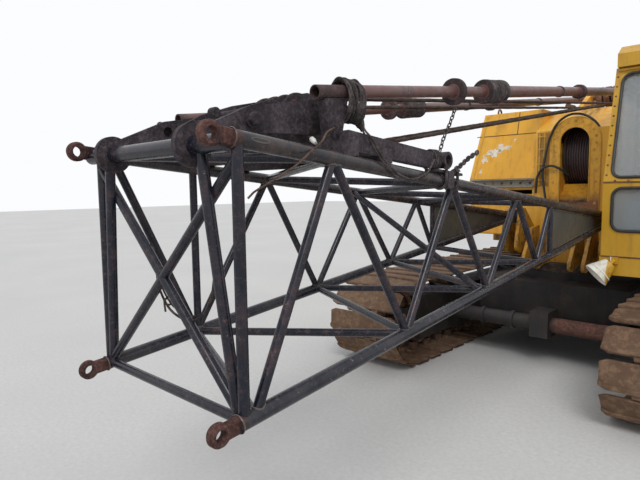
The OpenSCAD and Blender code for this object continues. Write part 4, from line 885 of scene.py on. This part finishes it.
# Cab
# A pressed steel cab in ochre yellow with rubber-set windows, a door on its outer side and
# a raised roof cap. The seat's cushion and back are stitched vinyl pads.
ochre_paint = dict(Paint=(0.50, 0.262, 0.012), Faded=(0.58, 0.325, 0.022),
                   Rust=(0.17, 0.065, 0.022))
cab_yellow = finish("cab_yellow", old_paint, bump=0.2, Bare=(0.16, 0.07, 0.03),
                    Grime=(0.26, 0.13, 0.018), Scale=1.6, Chips=0.20, Streaks=0.40,
                    Grime_Amount=0.35, Gloss=0.36, **ochre_paint)
glazing = finish("glazing", Roughness=0.14, Base_Color=(0.58, 0.64, 0.67),
                 Transmission_Weight=0.60, IOR=1.45, Alpha=0.62)
lamp_enamel = dict(
    Paint=(0.84, 0.84, 0.80), Faded=(0.70, 0.66, 0.56), Bare=(0.3, 0.2, 0.12),
    Rust=(0.25, 0.11, 0.04), Grime=(0.42, 0.36, 0.26), Scale=4.0, Chips=0.25, Streaks=0.3,
    Grime_Amount=0.4, Gloss=0.35)
bracket_paint = dict(ochre_paint, Scale=4.0, Chips=0.6, Gloss=0.4)
lamp_white = finish("lamp_white", blended("lamp_skin", (old_paint, lamp_enamel),
                                          (old_paint, bracket_paint), 0, 0.690, 0.698, 0.0),
                    "white_enamel", bump=0.15)
lever_grey = finish("lever_grey", old_paint, "grey_plastic", Paint=(0.09, 0.095, 0.10),
                    Faded=(0.15, 0.15, 0.15), Scale=5.0, Chips=0.3, Gloss=0.5)
dress(cab_yellow, "cab_shell", "cab_door")
dress(glazing, "cab_glass", "cab_door_glass")
dress(lamp_white, "work_lamp")
dress(lever_grey, "controls")

cab_x0, cab_x1 = 0.605, 1.500
cab_y0, cab_y1 = SLEW_Y - 1.500, SLEW_Y - 0.350
cab_base, cab_belt, cab_roof, cab_rake = 1.170, 1.800, 2.790, 0.285


def on_cab(x, z, proud=0.0):
    """A point on the cab's front: upright to its belt, then leaning back."""
    return (x, cab_y0 + cab_rake * np.clip((z - cab_belt) / (cab_roof - cab_belt), 0, 1) - proud, z)


def gasket(low, high, at):
    """A rubber strip round a window: a rounded rectangle in two coordinates, set in space
    by a function of them."""
    r, a = 0.075, np.linspace(0, np.pi / 2, 7)
    corners = ((high[0] - r, high[1] - r), (low[0] + r, high[1] - r), (low[0] + r, low[1] + r),
               (high[0] - r, low[1] + r))
    loop = [at(u + r * np.cos(t), v + r * np.sin(t)) for quarter, (u, v) in enumerate(corners)
            for t in a + quarter * np.pi / 2]
    return rod(np.array(loop), 0.013, 8, closed=True)


def windscreen(u, v):
    """A point just before the cab's front at x = u and height v."""
    return on_cab(u, v, 0.002)


def inner_side(u, v):
    """A point just off the side toward the boom, at u behind the slewing axis and height v."""
    return (cab_x0 - 0.002, SLEW_Y + u, v)


def back_wall(u, v):
    """A point just behind the back wall at x = u and height v."""
    return (u, cab_y1 + 0.002, v)


sill = cab_belt + 0.040
gaskets = [
    gasket((cab_x0 + 0.060, sill), (cab_x1 - 0.060, cab_roof - 0.060), windscreen),
    gasket((cab_x0 + 0.075, cab_base + 0.220), (cab_x1 - 0.075, cab_belt - 0.050), windscreen),
    gasket((-1.200, sill), (-0.450, cab_roof - 0.130), inner_side),
    gasket((cab_x0 + 0.110, sill + 0.020), (cab_x1 - 0.110, cab_roof - 0.130), back_wall)]
piece("window_gaskets", gaskets, black_rubber, "upper", loop=True)

# Rows of small rivets along the front pillar and the belt, and the pressed seams beside them
rivets = [on_cab(cab_x0 + 0.020, z) for z in np.arange(1.86, 2.76, 0.085)]
rivets += [np.add(on_cab(x, cab_belt), (0, 0, 0.012))
           for x in np.arange(cab_x0 + 0.09, cab_x1 - 0.05, 0.10)]
rivet = [(0.0, 0.005), (0.006, 0.004), (0.0095, 0.0), (0.0095, -0.003)]
heads = [turned(rivet, p, (0, -1, 0.05), 8) for p in rivets]
piece("cab_rivets", heads, cast_rust, "upper", ends=False)
strips("cab_seams", [
    (on_cab(cab_x0 + 0.002, cab_belt), on_cab(cab_x1 - 0.002, cab_belt), 0.014, 0.005, FORWARD),
    (on_cab(cab_x0 + 0.002, cab_base), on_cab(cab_x1 - 0.002, cab_base), 0.012, 0.005, FORWARD),
    ((cab_x0, cab_y0 + 0.01, cab_base), (cab_x0, cab_y1 - 0.01, cab_base), 0.012, 0.005,
     (-1, 0, 0))], seam_dark, "upper")
# Wiper on the windscreen, grab rails beside the door, and the rain rail over the front
wiper = [rod(np.array([on_cab(1.30, 2.62, 0.024), on_cab(1.12, 2.20, 0.024)]), 0.005, 8),
         strip(on_cab(1.20, 2.46, 0.022), on_cab(1.03, 1.98, 0.022), 0.016, 0.012, FORWARD)]
piece("wiper", wiper, black_rubber, "upper")


def cab_handle(bow, y, count, radius):
    """A bent rod on the cab's outer side, from its bow's (distance out, height) points."""
    return rod(smooth_path([(cab_x1 + x, SLEW_Y + y, z) for x, z in bow], count), radius, 8)


rail_bow = [(-0.002, 1.42), (0.010, 1.46), (0.012, 1.80), (0.010, 2.16), (-0.002, 2.20)]
door_bow = [(-0.004, 1.62), (0.010, 1.63), (0.010, 1.74), (-0.004, 1.75)]
rails = [cab_handle(rail_bow, y, 24, 0.010) for y in (-1.415, -0.420)]
piece("cab_rails", rails, yellow_trim, "upper")
piece("cab_door_handle", [cab_handle(door_bow, -0.80, 14, 0.007)], lever_grey, "cab_door")
rain_z = 2.77
strips("cab_rain_rail", [(windscreen(cab_x0 + 0.02, rain_z), windscreen(cab_x1 - 0.02, rain_z),
                          0.022, 0.016, FORWARD)], yellow_trim, "upper")

# Lamp: rim round the white cone's mouth, and its bulb glass inside
lamp_throat = np.array((0.700, SLEW_Y - 1.568, 1.115))
lamp_dir = unit(np.array((-0.62, -0.42, -0.66)))
lens_glass = finish("lens_glass", slot="white_enamel", Roughness=0.12,
                    Base_Color=(0.75, 0.74, 0.68))
lens = [(0.0, 0.132), (0.04, 0.130), (0.085, 0.120), (0.102, 0.108), (0.098, 0.100), (0.0, 0.100)]
piece("lamp_lens", [turned(lens, lamp_throat, lamp_dir, 32)], lens_glass, "upper", ends=False)
rim = [(0.1085, 0.0), (0.111, 0.002), (0.1085, 0.004), (0.1065, 0.002)]
piece("lamp_rim", [turned(rim, lamp_throat + lamp_dir * 0.1455, lamp_dir, 40)], lamp_white, "upper",
      ends=False, loop=True)

# Knobs on the levers
levers_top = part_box("controls")[1][2]
knob = [(0.0, -0.024), (0.014, -0.020), (0.022, -0.008), (0.023, 0.003), (0.016, 0.015),
        (0.0, 0.020)]
knobs = [turned(knob, (0.810 + 0.12 * i, SLEW_Y - 1.084, levers_top - 0.004), (0, 0.14, 1), 16)
         for i in range(5)]
piece("lever_knobs", knobs, black_rubber, "upper", ends=False)

# Seat: two padded cushions swelled by cloth pressure over closed forms, on a pedestal
vinyl = finish(
    "vinyl", old_paint, "black_vinyl", bump=0.3, distance=0.001, Paint=(0.016, 0.016, 0.017),
    Faded=(0.035, 0.033, 0.031), Bare=(0.12, 0.10, 0.08), Rust=(0.03, 0.026, 0.022),
    Grime=(0.05, 0.045, 0.04), Scale=9.0, Chips=0.2, Streaks=0.1, Grime_Amount=0.3, Gloss=0.42)
(seat_x0, seat_y0, seat_z0), (seat_x1, seat_y1, seat_z1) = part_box("seat")


def rounded_block(low, high, round_by=0.35):
    """A block with rounded edges: a sphere's grid of directions pushed out to the block,
    p = half (|d|^k with its sign), so k near zero gives sharper edges."""
    a = angles(16) - np.pi + np.pi / 16
    b = np.linspace(-np.pi / 2, np.pi / 2, 9)
    d = np.stack([np.cos(b)[:, None] * np.cos(a), np.cos(b)[:, None] * np.sin(a),
                  np.sin(b)[:, None] * np.ones_like(a)], -1)
    d = np.sign(d) * np.abs(d)**round_by
    d[[0, -1], :, :2] = 0
    return (low + high) / 2 + (high - low) / 2 * d


def pad(name, low, high, cap=0.010, inset=0.010):
    """A cushion: a rounded block, voxel remeshed, blown up by cloth pressure with its points
    held within a cap of where they started, then smoothed by one subdivision."""
    block = rounded_block(np.array(low) + inset, np.array(high) - inset)
    made = piece(name, [block], vinyl, "upper", ends=False)
    bpy.context.view_layer.objects.active = made
    skin = made.modifiers.new("remesh", "REMESH")
    skin.mode, skin.voxel_size = "VOXEL", 0.012
    bpy.ops.object.modifier_apply(modifier="remesh")
    start = np.array([v.co for v in made.data.vertices])
    cloth = made.modifiers.new("cloth", "CLOTH")
    cloth.settings.use_pressure = True
    cloth.settings.uniform_pressure_force = 4.0
    cloth.settings.effector_weights.gravity = 0.0
    for step in range(1, 21):
        bpy.context.scene.frame_set(step)
    bpy.ops.object.modifier_apply(modifier="cloth")
    bpy.context.scene.frame_set(1)
    move = np.array([v.co for v in made.data.vertices]) - start
    far = np.linalg.norm(move, axis=1, keepdims=True)
    end = start + move * np.minimum(1.0, cap / np.maximum(far, 1e-9))
    made.data.vertices.foreach_set("co", end.ravel())
    made.data.shade_smooth()
    fine = made.modifiers.new("smooth", "SUBSURF")
    fine.levels = fine.render_levels = 1
    return made


pad_z = seat_z1 - 0.525  # where the cushion ends and the back starts
cushion = pad("seat_cushion", (seat_x0, seat_y0, seat_z1 - 0.650), (seat_x1, seat_y1 - 0.02, pad_z))
backrest = pad("seat_back", (seat_x0 + 0.012, seat_y1 - 0.115, pad_z),
               (seat_x1 - 0.012, seat_y1 - 0.010, seat_z1 - 0.005))
stand = [(0.0, 0), (0.12, 0), (0.12, 0.012), (0.07, 0.02), (0.055, 0.10), (0.055, 0.22),
         (0.16, 0.265), (0.17, 0.298), (0.0, 0.298)]
stand_at = ((seat_x0 + seat_x1) / 2, SLEW_Y - 0.770, seat_z0)
pedestal = piece("seat_pedestal", [turned(stand, stand_at, UP, 28)], lever_grey, "upper", ends=False)
for part in (cushion, backrest, pedestal):
    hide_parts("seat")

# Boom
# Four round chords laced with thinner tubes that are coped and welded to them. Black paint
# worn grey and brown; the forged lugs at the end have lost theirs and are red with rust.
CHORD_R, LACING_R, HALF_W = 0.031, 0.020, 0.500
MEET_Y = 4.896                     # where the upper and lower chords would meet
BOOM_Y = BOOM_ORIGIN[1]
stations = np.array((162, 591, 1121, 1551, 1992, 2399, 2771, 3023)) / 1000


def half_h(y):
    """Half the height between the chords at a distance from the lugs."""
    return 0.5 * (1 - np.asarray(y) / MEET_Y)


black_worn = dict(
    Paint=(0.010, 0.010, 0.015), Faded=(0.046, 0.041, 0.042), Bare=(0.40, 0.40, 0.42),
    Rust=(0.075, 0.036, 0.026), Grime=(0.100, 0.054, 0.042), Scale=4.5, Chips=0.64,
    Streaks=0.35, Grime_Amount=0.66, Gloss=0.27)
# Painted shade: the lower chords, which face the ground, take a darker and bluer copy of the upper
# chords' black paint.
black_low_shaded = dict(black_worn, Paint=(0.007, 0.009, 0.016), Faded=(0.028, 0.030, 0.040),
                 Grime=(0.042, 0.035, 0.034), Gloss=0.22)
black_gloss = dict(black_worn, Paint=(0.005, 0.007, 0.014), Faded=(0.015, 0.017, 0.028),
                   Bare=(0.22, 0.22, 0.24), Grime=(0.066, 0.034, 0.034), Scale=5.5, Chips=0.66,
                   Gloss=0.24)
black_burnt = dict(black_worn, Paint=(0.045, 0.042, 0.042), Faded=(0.11, 0.10, 0.095))
lug_rust = dict(
    Scale=9.0, Dark=(0.030, 0.015, 0.015), Brown=(0.085, 0.034, 0.028), Orange=(0.20, 0.075, 0.040),
    Orange_Amount=0.45, Dust=(0.20, 0.13, 0.12), Dust_Amount=0.3)
plate_paint = dict(
    Paint=(0.052, 0.052, 0.045), Faded=(0.088, 0.083, 0.064), Bare=(0.05, 0.045, 0.04),
    Rust=(0.07, 0.040, 0.026), Grime=(0.030, 0.026, 0.022), Scale=2.2, Chips=0.30, Streaks=0.5,
    Grime_Amount=0.9, Gloss=0.5)
lug_end = BOOM_Y + 0.085
for name, paint, chords in (("chord", black_worn, ("chord_top_left", "chord_top_right")),
                            ("low_chord_shaded", black_low_shaded, ("chord_bottom_left", "chord_bottom_right"))):
    chord_skin = blended(f"{name}_skin", (rust_skin, lug_rust), (old_paint, paint), 1,
                         lug_end - 0.01, lug_end + 0.03)
    dress(finish(f"{name}_black", chord_skin, bump=0.35, Specular_IOR_Level=0.36), *chords)
lacing_black = finish("lacing_black", old_paint, bump=0.3, distance=0.0015,
                      Specular_IOR_Level=0.36, **black_gloss)
plate_skin = blended("plate_skin", (old_paint, plate_paint), (old_paint, black_greased), 1,
                     BOOM_Y + 3.75, BOOM_Y + 4.45, 0.05, 5.0)
dress(lacing_black, "lacing_left", "lacing_right", "lacing_top", "lacing_bottom", "end_frame")
dress(finish("plate_olive", plate_skin, bump=0.25), "foot_plates")
weld_grey = finish("weld_grey", old_paint, "boom_paint", bump=0.4, **black_burnt)
lug_skin = finish("lug_skin", rust_skin, "boom_paint", bump=0.5, **lug_rust)


def chord_at(side, level, y):
    """A point on a chord's centre line."""
    return np.array((side * HALF_W, y, level * half_h(y)))


def chord_along(side, level):
    """A chord's direction."""
    return chord_at(side, level, 1) - chord_at(side, level, 0)


def coped_bead(point, tube_to, chord, thick=0.0045, count=28):
    """The weld round a tube's coped end. On the tube's wall at angle a the point is
    e = r (cos a, sin a) across it; going t along it, the distance to the chord's line is
    the chord's radius where A t^2 + B t + C = 0, and the bead lies on the larger root."""
    d, c = unit(tube_to - point), unit(chord)
    e = circle(LACING_R, count) @ frame_of(d)[:2]
    dc, ec = d @ c, e @ c
    a2, b2, c2 = 1 - dc**2, 2 * (e @ d - ec * dc), (e * e).sum(1) - ec**2 - CHORD_R**2
    t = (-b2 + np.sqrt(np.maximum(b2**2 - 4 * a2 * c2, 0))) / (2 * a2)
    lumps = 1 + 0.18 * np.sin(9 * angles(count) + 40 * point[1])
    return rod(point + e * 1.06 + t[:, None] * d + BOOM_ORIGIN, thick * lumps, 6, closed=True)


# A face's tubes run between its two chords in turn. At each station those of the left and
# right faces change level, those of the flat faces change side, and opposite faces are
# mirrored.
beads = []
for flat, sign in ((False, 1), (False, -1), (True, 1), (True, -1)):
    turns = sign * (-1) ** (np.arange(len(stations)) + 1)
    corners = [(turn, sign) if flat else (sign, turn) for turn in turns]
    ends = [(corner, chord_at(*corner, y)) for corner, y in zip(corners, stations)]
    for (first, p), (second, q) in zip(ends[:-1], ends[1:]):
        beads += [coped_bead(p, q, chord_along(*first)), coped_bead(q, p, chord_along(*second))]
piece("lacing_welds", beads, weld_grey, "boom", loop=True)

# Weld round each lug's neck, and the lips of the lugs' tapered bores
lugs = [(side, level) for side in (-1, 1) for level in (-1, 1)]
neck = [(0.0345, -0.003), (0.0365, 0.0), (0.0345, 0.004), (0.0310, 0.0045)]
collars = [turned(neck, chord_at(*lug, 0.0855) + BOOM_ORIGIN, chord_along(*lug), 28)
           for lug in lugs]
piece("neck_welds", collars, weld_grey, "boom", ends=False, loop=True)
lip = np.array([(0.0232, 0.0185), (0.0290, 0.0192), (0.0345, 0.0200), (0.0380, 0.0180),
                (0.0300, 0.0170)])
lips = [turned(lip * (1, face), chord_at(*lug, 0.0) + BOOM_ORIGIN, LEFT, 36)
        for lug in lugs for face in (-1, 1)]
piece("lug_lips", lips, lug_skin, "boom", ends=False, loop=True)
# Welds along the foot plates' edges
plate_x, plate_y = HALF_W + 0.007, (3.10, 4.60)
welds = []
for side in (1, -1):
    for level in (1, -1):
        low, high = (on_boom(side * plate_x, y, level * (half_h(y) - CHORD_R - 0.006)) for y in plate_y)
        welds.append((low, high, 0.008, 0.005, (side, 0, 0)))
strips("foot_plate_welds", welds, weld_grey, "boom")

# Bridle
# The frame that the hoist ropes pull on: two arms pinned on the end rollers, a block of
# sheaves between plates, and a long link. Thick dark rust with grease in the corners.
bridle_dark = finish(
    "bridle_dark", rust_skin, "rusty_steel", bump=0.8, distance=0.004, Scale=6.5,
    Dark=(0.016, 0.014, 0.020), Brown=(0.050, 0.034, 0.038), Orange=(0.12, 0.055, 0.042),
    Dust=(0.13, 0.125, 0.15), Orange_Amount=0.30, Dust_Amount=0.45)
dress(bridle_dark, "bridle_plates", "bridle_sheaves")
red_face = finish(
    "red_face", old_paint, "rusty_steel", bump=0.4, Paint=(0.17, 0.030, 0.022),
    Faded=(0.22, 0.07, 0.05), Rust=(0.06, 0.03, 0.022), Bare=(0.05, 0.04, 0.035),
    Grime=(0.05, 0.03, 0.025), Scale=5.0, Chips=0.75, Grime_Amount=0.9, Gloss=0.5)

# Headed pins through the arms and plates, and bolts in the block's plates
pins = []
for side in (1, -1):
    for x, y, z, r, out_by in ((0.313, 0.335, 0.592, 0.026, 0.030),
                               (0.329, 0.800, 0.645, 0.034, 0.020)):
        pin = [(0.0, 0.0), (r * 1.35, 0.0), (r * 1.35, 0.008), (r, 0.010), (r, out_by),
               (r * 0.82, out_by + 0.004), (0.0, out_by + 0.004)]
        pins.append(turned(pin, on_boom(side * x, y, z), (side, 0, 0), 20))
piece("bridle_pins", pins, bridle_dark, "boom", ends=False)
block_x = 0.160
bolt_yz = ((0.38, 0.600), (0.48, 0.640), (0.60, 0.660), (0.70, 0.700), (0.90, 0.720),
           (0.96, 0.640), (0.96, 0.580), (0.56, 0.590))
for side, word in SIDES:
    bolts(f"bridle_bolts_{word}", [on_boom(side * block_x, y, z) for y, z in bolt_yz],
          (side, 0, 0), 0.034, cast_rust, "boom", proud=0.7)
# Spacer tubes between the block's plates, bent guard rods over the sheaves
spacers = [rod(np.array([on_boom(-0.138, y, z), on_boom(0.138, y, z)]), 0.016, 14)
           for y, z in ((0.40, 0.620), (0.52, 0.668), (0.975, 0.700))]
piece("bridle_spacers", spacers, bridle_dark, "boom")
a = np.linspace(-0.15 * np.pi, 0.95 * np.pi, 22)
guards = [rod(oval(on_boom(x, 0.800, 0.645), (0, 0.126, 0), (0, 0, 0.124), a), 0.0075, 8)
          for x in (-0.105, -0.035, 0.035, 0.105)]
piece("sheave_ropes", guards, rope_coat, "boom")
# Fittings welded to the block's left plate: an eye on a lug, a stub of tube, a knob, three
# braces, and a worn red mark
stub = [(0.015, 0.0), (0.021, 0.0), (0.021, 0.056), (0.015, 0.056), (0.015, 0.004)]
eye = [(0.0, 0.0), (0.018, 0.0), (0.020, 0.004), (0.020, 0.026), (0.016, 0.031), (0.009, 0.027),
       (0.0, 0.026)]
knob = [(0.0, -0.020), (0.018, -0.020), (0.023, -0.015), (0.023, 0.015), (0.018, 0.020),
        (0.0, 0.020)]
fittings = [turned(profile, on_boom(*at), LEFT, 24) for profile, at in (
    (stub, (0.159, 0.722, 0.622)), (eye, (0.159, 0.412, 0.632)), (knob, (0.120, 0.300, 0.632)))]
piece("bridle_fittings", fittings, bridle_dark, "boom", ends=False)
strips("bridle_braces", [
    (on_boom(block_x, 0.560, 0.700), on_boom(block_x, 0.745, 0.652), 0.034, 0.014, LEFT),
    (on_boom(block_x, 0.575, 0.640), on_boom(block_x, 0.690, 0.735), 0.026, 0.010, LEFT),
    (on_boom(block_x, 0.412, 0.640), on_boom(block_x, 0.420, 0.570), 0.036, 0.012, LEFT)],
    bridle_dark, "boom")
strips("bridle_red_face", [(on_boom(0.1605, 0.672, 0.716), on_boom(0.1605, 0.730, 0.704),
                            0.034, 0.005, LEFT)], red_face, "boom")
# An old weld scar on the left chord, an oval bead on its outer side
a = angles(32)
around, scar_y, scar_r = 0.24 * np.sin(a) + 0.15, 0.190 + 0.040 * np.cos(a), 0.0305
scar = np.stack([HALF_W + scar_r * np.cos(around), scar_y,
                 half_h(scar_y) + scar_r * np.sin(around)], 1)
piece("chord_scar", [rod(scar + BOOM_ORIGIN, 0.0028, 7, closed=True)], weld_grey, "boom", loop=True)
# Loose rings that hang on the frame
rings = [rod(oval(on_boom(x, y, z + r * 0.8), (0.5 * r, 0.85 * r, 0), (0, 0, r), angles(22)),
             0.006, 8, closed=True)
         for x, y, z, r in ((-0.35, 0.333, 0.618, 0.012), (-0.36, 0.70, 0.548, 0.030),
                            (0.36, 0.94, 0.525, 0.026), (-0.20, 0.94, 0.525, 0.026),
                            (0.22, 0.62, 0.575, 0.022))]
piece("bridle_rings", rings, cast_rust, "boom", loop=True)

# Backstops and hoist ropes
# Two telescopic tubes run from the gantry's head to the bridle, brown with old paint and
# rust, and the hoist ropes run between them. Chain and wire are tied round their ends.
stop_x, stop_span = 0.400, 6.148
stop_tilt = {1: np.arcsin(0.765 / stop_span), -1: np.arcsin(0.793 / stop_span)}
sleeve_end = {1: 4.636, -1: 4.336}                    # the sleeves' lengths from the head
black_end = {1: BOOM_Y + 0.86, -1: BOOM_Y + 0.50}     # the free ends are black up to here


def on_stop(side, run):
    """A point on a backstop's centre line at a distance from the gantry's head shaft."""
    t = stop_tilt[side]
    return np.array((side * stop_x, HEAD[1] - run * np.cos(t), HEAD[2] - run * np.sin(t)))


stop_paint = dict(
    Paint=(0.115, 0.040, 0.036), Faded=(0.150, 0.082, 0.074), Bare=(0.45, 0.42, 0.40),
    Rust=(0.16, 0.056, 0.034), Grime=(0.048, 0.034, 0.036), Scale=3.2, Chips=0.72, Streaks=0.4,
    Grime_Amount=0.8, Gloss=0.38)
collar_rust = dict(
    Scale=7.0, Dark=(0.022, 0.017, 0.019), Brown=(0.060, 0.036, 0.036), Orange=(0.14, 0.065, 0.050),
    Dust=(0.16, 0.13, 0.13), Orange_Amount=0.3, Dust_Amount=0.4)


def stop_skin(side, word):
    """Old brown paint on a backstop's tube, dark rust on its collars and its free end. A
    point belongs to a collar where its distance from the tube's centre line, sqrt(u^2 + v^2)
    with u across and v square to the slope, is more than the tube's radius."""
    t = stop_tilt[side]
    tree, g, out = group(f"stop_skin_{word}")
    from_head = node("VectorMath", {0: g["Vector"], 1: (side * stop_x, HEAD[1], HEAD[2])},
                     operation="SUBTRACT").outputs[0]
    u = parts_of(from_head)[0]
    v = node("VectorMath", {0: from_head, 1: (0, np.sin(t), -np.cos(t))},
             operation="DOT_PRODUCT").outputs["Value"]
    far = math("SQRT", math("ADD", times(u, u), times(v, v)))
    at_end = limits(parts_of(g["Vector"])[1], black_end[side] - 0.06,
                    black_end[side] + 0.03, 0.8, 0.0)
    on_collar = math("MAXIMUM", limits(far, 0.041, 0.046), at_end)
    feed_two(out, g["Vector"], on_collar, (old_paint, stop_paint), (rust_skin, collar_rust))
    return tree


wire_dark = finish(
    "wire_dark", rust_skin, "rusty_steel", bump=0.4, Scale=20.0, Dark=(0.022, 0.018, 0.019),
    Brown=(0.060, 0.043, 0.042), Orange=(0.13, 0.065, 0.045), Dust=(0.22, 0.20, 0.20),
    Dust_Amount=0.5, Orange_Amount=0.25)

# Clamp bands and narrow rings on the sleeves, and weld rings where the collars sit
clamp, narrow = band(0.0695, 0.0735, 0.020, 0.018), band(0.0690, 0.0725, 0.009, 0.005)
weld_ring = band(0.0385, 0.0440, 0.012, 0.010)
for side, word in SIDES:
    dress(finish(f"stop_brown_{word}", stop_skin(side, word), bump=0.3),
          f"backstop_tube_{word}", f"backstop_rod_{word}")
    end = sleeve_end[side]
    bands = [turned(profile, on_stop(side, run), on_stop(side, 1.0) - on_stop(side, 0.0), sides)
             for profile, sides, runs in (
                 (clamp, 36, (end - 0.225, end - 0.030)),
                 (narrow, 36, (end - 0.070, end - 0.110, end - 0.150, end - 0.190)),
                 (weld_ring, 28, (0.30, 1.60, 3.30))) for run in runs]
    piece(f"stop_bands_{word}", bands, wire_dark, f"backstop_{word}", ends=False, loop=True)


def laid_rope(path, radius, lay, sides, strands=6):
    """A wire rope: the profile's radius is r (1 - 0.16 |sin(n a / 2)|) for n strands, and
    it turns once round the path over each lay length."""
    a = angles(sides)
    turned_by = 2 * np.pi * run_of(path)[:, None] / lay
    r = radius * (1 - 0.16 * np.abs(np.sin(strands * (a[None] - turned_by) / 2)))
    return sweep(path, np.stack([r * np.cos(a), r * np.sin(a)], -1))


# Hoist ropes between the sheaves and the gantry's head. They shorten as the boom rises.
hoist_ropes = {  # name: (end at the sheaves, end at the head, radius)
    "hoist_rope_a": ((-0.035, 1.670, 0.614), (-0.035, 6.000, 1.287), 0.0135),
    "hoist_rope_b": ((0.040, 1.670, 0.604), (0.040, 6.000, 1.280), 0.0135),
    "hoist_rope_c": ((-0.100, 0.860, 0.738), (-0.100, 6.500, 1.318), 0.0130),
    "hoist_rope_d": ((0.100, 0.860, 0.757), (0.100, 6.500, 1.349), 0.0130)}
for name, (low, high, radius) in hoist_ropes.items():
    a, b = on_boom(*low), on_boom(*high)
    path = a + (b - a) * np.linspace(0, 1, 190)[:, None]
    rope = piece(name, [laid_rope(path, radius, 0.16, 18)], rope_coat, "backstop_left")
    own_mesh(rope)

# Wire wound round the left backstop's end and the gusset it rests on: each turn is an oval
# whose width and height wander a little, and it leans with the one before
rng = np.random.default_rng(7)
a = angles(44)
wrap_x, wrap_z = stop_x, 0.712
coils = []
for at in np.linspace(0.755, 0.862, 30):
    lean, skew, phase, far = rng.uniform((-0.24, -0.15, 0, 0.93), (0.04, 0.20, 6.3, 1.06))
    wobble = far * (1 + 0.05 * np.sin(2 * a + phase) + 0.03 * np.sin(5 * a - phase))
    dx = 0.054 * wobble * np.cos(a)
    dz = 0.094 * wobble * np.sin(a) * np.where(np.sin(a) > 0, 0.82, 1.05)
    coil = np.stack([wrap_x + dx, at + lean * dz + skew * dx, wrap_z + dz], 1)
    coils.append(rod(coil + BOOM_ORIGIN, 0.0040, 6, closed=True))
piece("wire_wrap", coils, wire_dark, "boom", loop=True)


def chain(name, points, pitch, wire):
    """Oval links along a path, each turned a quarter from the one before: a link's centre
    line is two half circles joined by straights, in the plane of its own turn."""
    points = np.array(points) + BOOM_ORIGIN
    path = smooth_path(points, max(3, int(round(path_length(smooth_path(points, 60)) / pitch)) + 1))
    t = angles(22)
    half, wide = pitch * 0.62, pitch * 0.36
    link = np.stack([np.sign(np.cos(t)) * (half - wide) + wide * np.cos(t), wide * np.sin(t)], 1)
    links = []
    for i, (p, q) in enumerate(zip(path[:-1], path[1:])):
        f = frame_of(q - p)
        placed = (p + q) / 2 + link[:, :1] * f[2] + link[:, 1:] * (f[0] if i % 2 else f[1])
        links.append(rod(placed, wire, 8, closed=True))
    return piece(name, links, wire_dark, "boom", loop=True)


chain("chain_to_collar", [(0.452, 1.668, 0.752), (0.450, 1.610, 0.660), (0.451, 1.545, 0.580),
                          (0.455, 1.500, 0.505)], 0.024, 0.0034)
chain("chain_to_shackle", [(0.400, 0.880, 0.655), (0.404, 0.893, 0.625), (0.410, 0.905, 0.598)],
      0.026, 0.0045)
chain("chain_aft", [(0.480, 1.600, 0.408), (0.470, 1.700, 0.440), (0.455, 1.820, 0.485),
                    (0.450, 1.949, 0.528)], 0.030, 0.0055)
# A shackle with its pin, and the closed hook that hangs from it
shackle_bow = smooth_path([(0.388, 0.868, 0.660), (0.384, 0.872, 0.630), (0.400, 0.878, 0.606),
                           (0.418, 0.872, 0.630), (0.414, 0.868, 0.660)], 24) + BOOM_ORIGIN
shackle_pin = np.array([on_boom(0.374, 0.866, 0.658), on_boom(0.428, 0.866, 0.658)])
hook = [(0.0, 0.0), (0.010, 0.002), (0.020, 0.014), (0.023, 0.028), (0.019, 0.044),
        (0.011, 0.056), (0.009, 0.070), (0.0, 0.072)]
piece("bridle_shackle", [rod(shackle_bow, 0.0075, 10), rod(shackle_pin, 0.0085, 10),
                         turned(hook, on_boom(0.402, 0.872, 0.640), (0.1, 0.45, -0.9), 16)],
      wire_dark, "boom")

# Rope sling from the hook, doubled, that hangs over the left upper chord
sling = np.array([(0.408, 0.886, 0.622), (0.436, 0.862, 0.598), (0.472, 0.838, 0.562),
                  (0.508, 0.842, 0.524), (0.520, 0.862, 0.485), (0.532, 0.884, 0.446),
                  (0.544, 0.918, 0.412), (0.551, 0.970, 0.378), (0.554, 1.068, 0.353),
                  (0.551, 1.158, 0.366), (0.541, 1.236, 0.391), (0.530, 1.289, 0.424),
                  (0.512, 1.345, 0.455)])
for name, shift in (("sling_outer", (0.004, 0, 0.006)), ("sling_inner", (-0.004, 0.003, -0.006))):
    path = smooth_path(sling + shift, 38) + BOOM_ORIGIN
    strand = piece(name, [laid_rope(path, 0.0050, 0.06, 12)], wire_dark, "boom")
# Wire round the long link's end, and the saddle with two U-bolts that ties it to the chord
wrap_wide, wrap_tall = 0.040, 0.052
leans = (0.2, -0.1, 0.15, 0.3, -0.2, 0.1, 0.0)
wraps = [rod(oval(on_boom(0.470, at, 0.462), (wrap_wide, 0, 0), (0, lean * wrap_tall, wrap_tall),
                  angles(44)), 0.0036, 6, closed=True)
         for at, lean in zip(np.linspace(1.372, 1.428, 7), leans)]
piece("link_wraps", wraps, wire_dark, "boom", loop=True)
strips("saddle_plates", [
    (on_boom(0.488, 1.365, 0.401), on_boom(0.488, 1.615, 0.381), 0.082, 0.014, UP),
    (on_boom(0.535, 1.470, 0.405), on_boom(0.535, 1.470, 0.318), 0.060, 0.010, LEFT)],
    bridle_dark, "boom")
bow_r = 0.0395
a = np.linspace(np.pi, 2 * np.pi, 17)
bows, nuts = [], []
for y in (1.425, 1.540):
    z = float(half_h(y))
    round_chord = oval((HALF_W, y, z), (bow_r, 0, 0), (0, 0, bow_r), a)
    ends = [(HALF_W + side * bow_r, y, z + 0.072) for side in (-1, 1)]
    bow = np.vstack([ends[:1], round_chord, ends[1:]])
    bows.append(rod(bow + BOOM_ORIGIN, 0.0080, 10))
    nuts += [on_boom(HALF_W + side * bow_r, y, z + 0.060) for side in (-1, 1)]
piece("saddle_bows", bows, wire_dark, "boom")
bolts("saddle_nuts", nuts, UP, 0.026, wire_dark, "boom", proud=0.9)
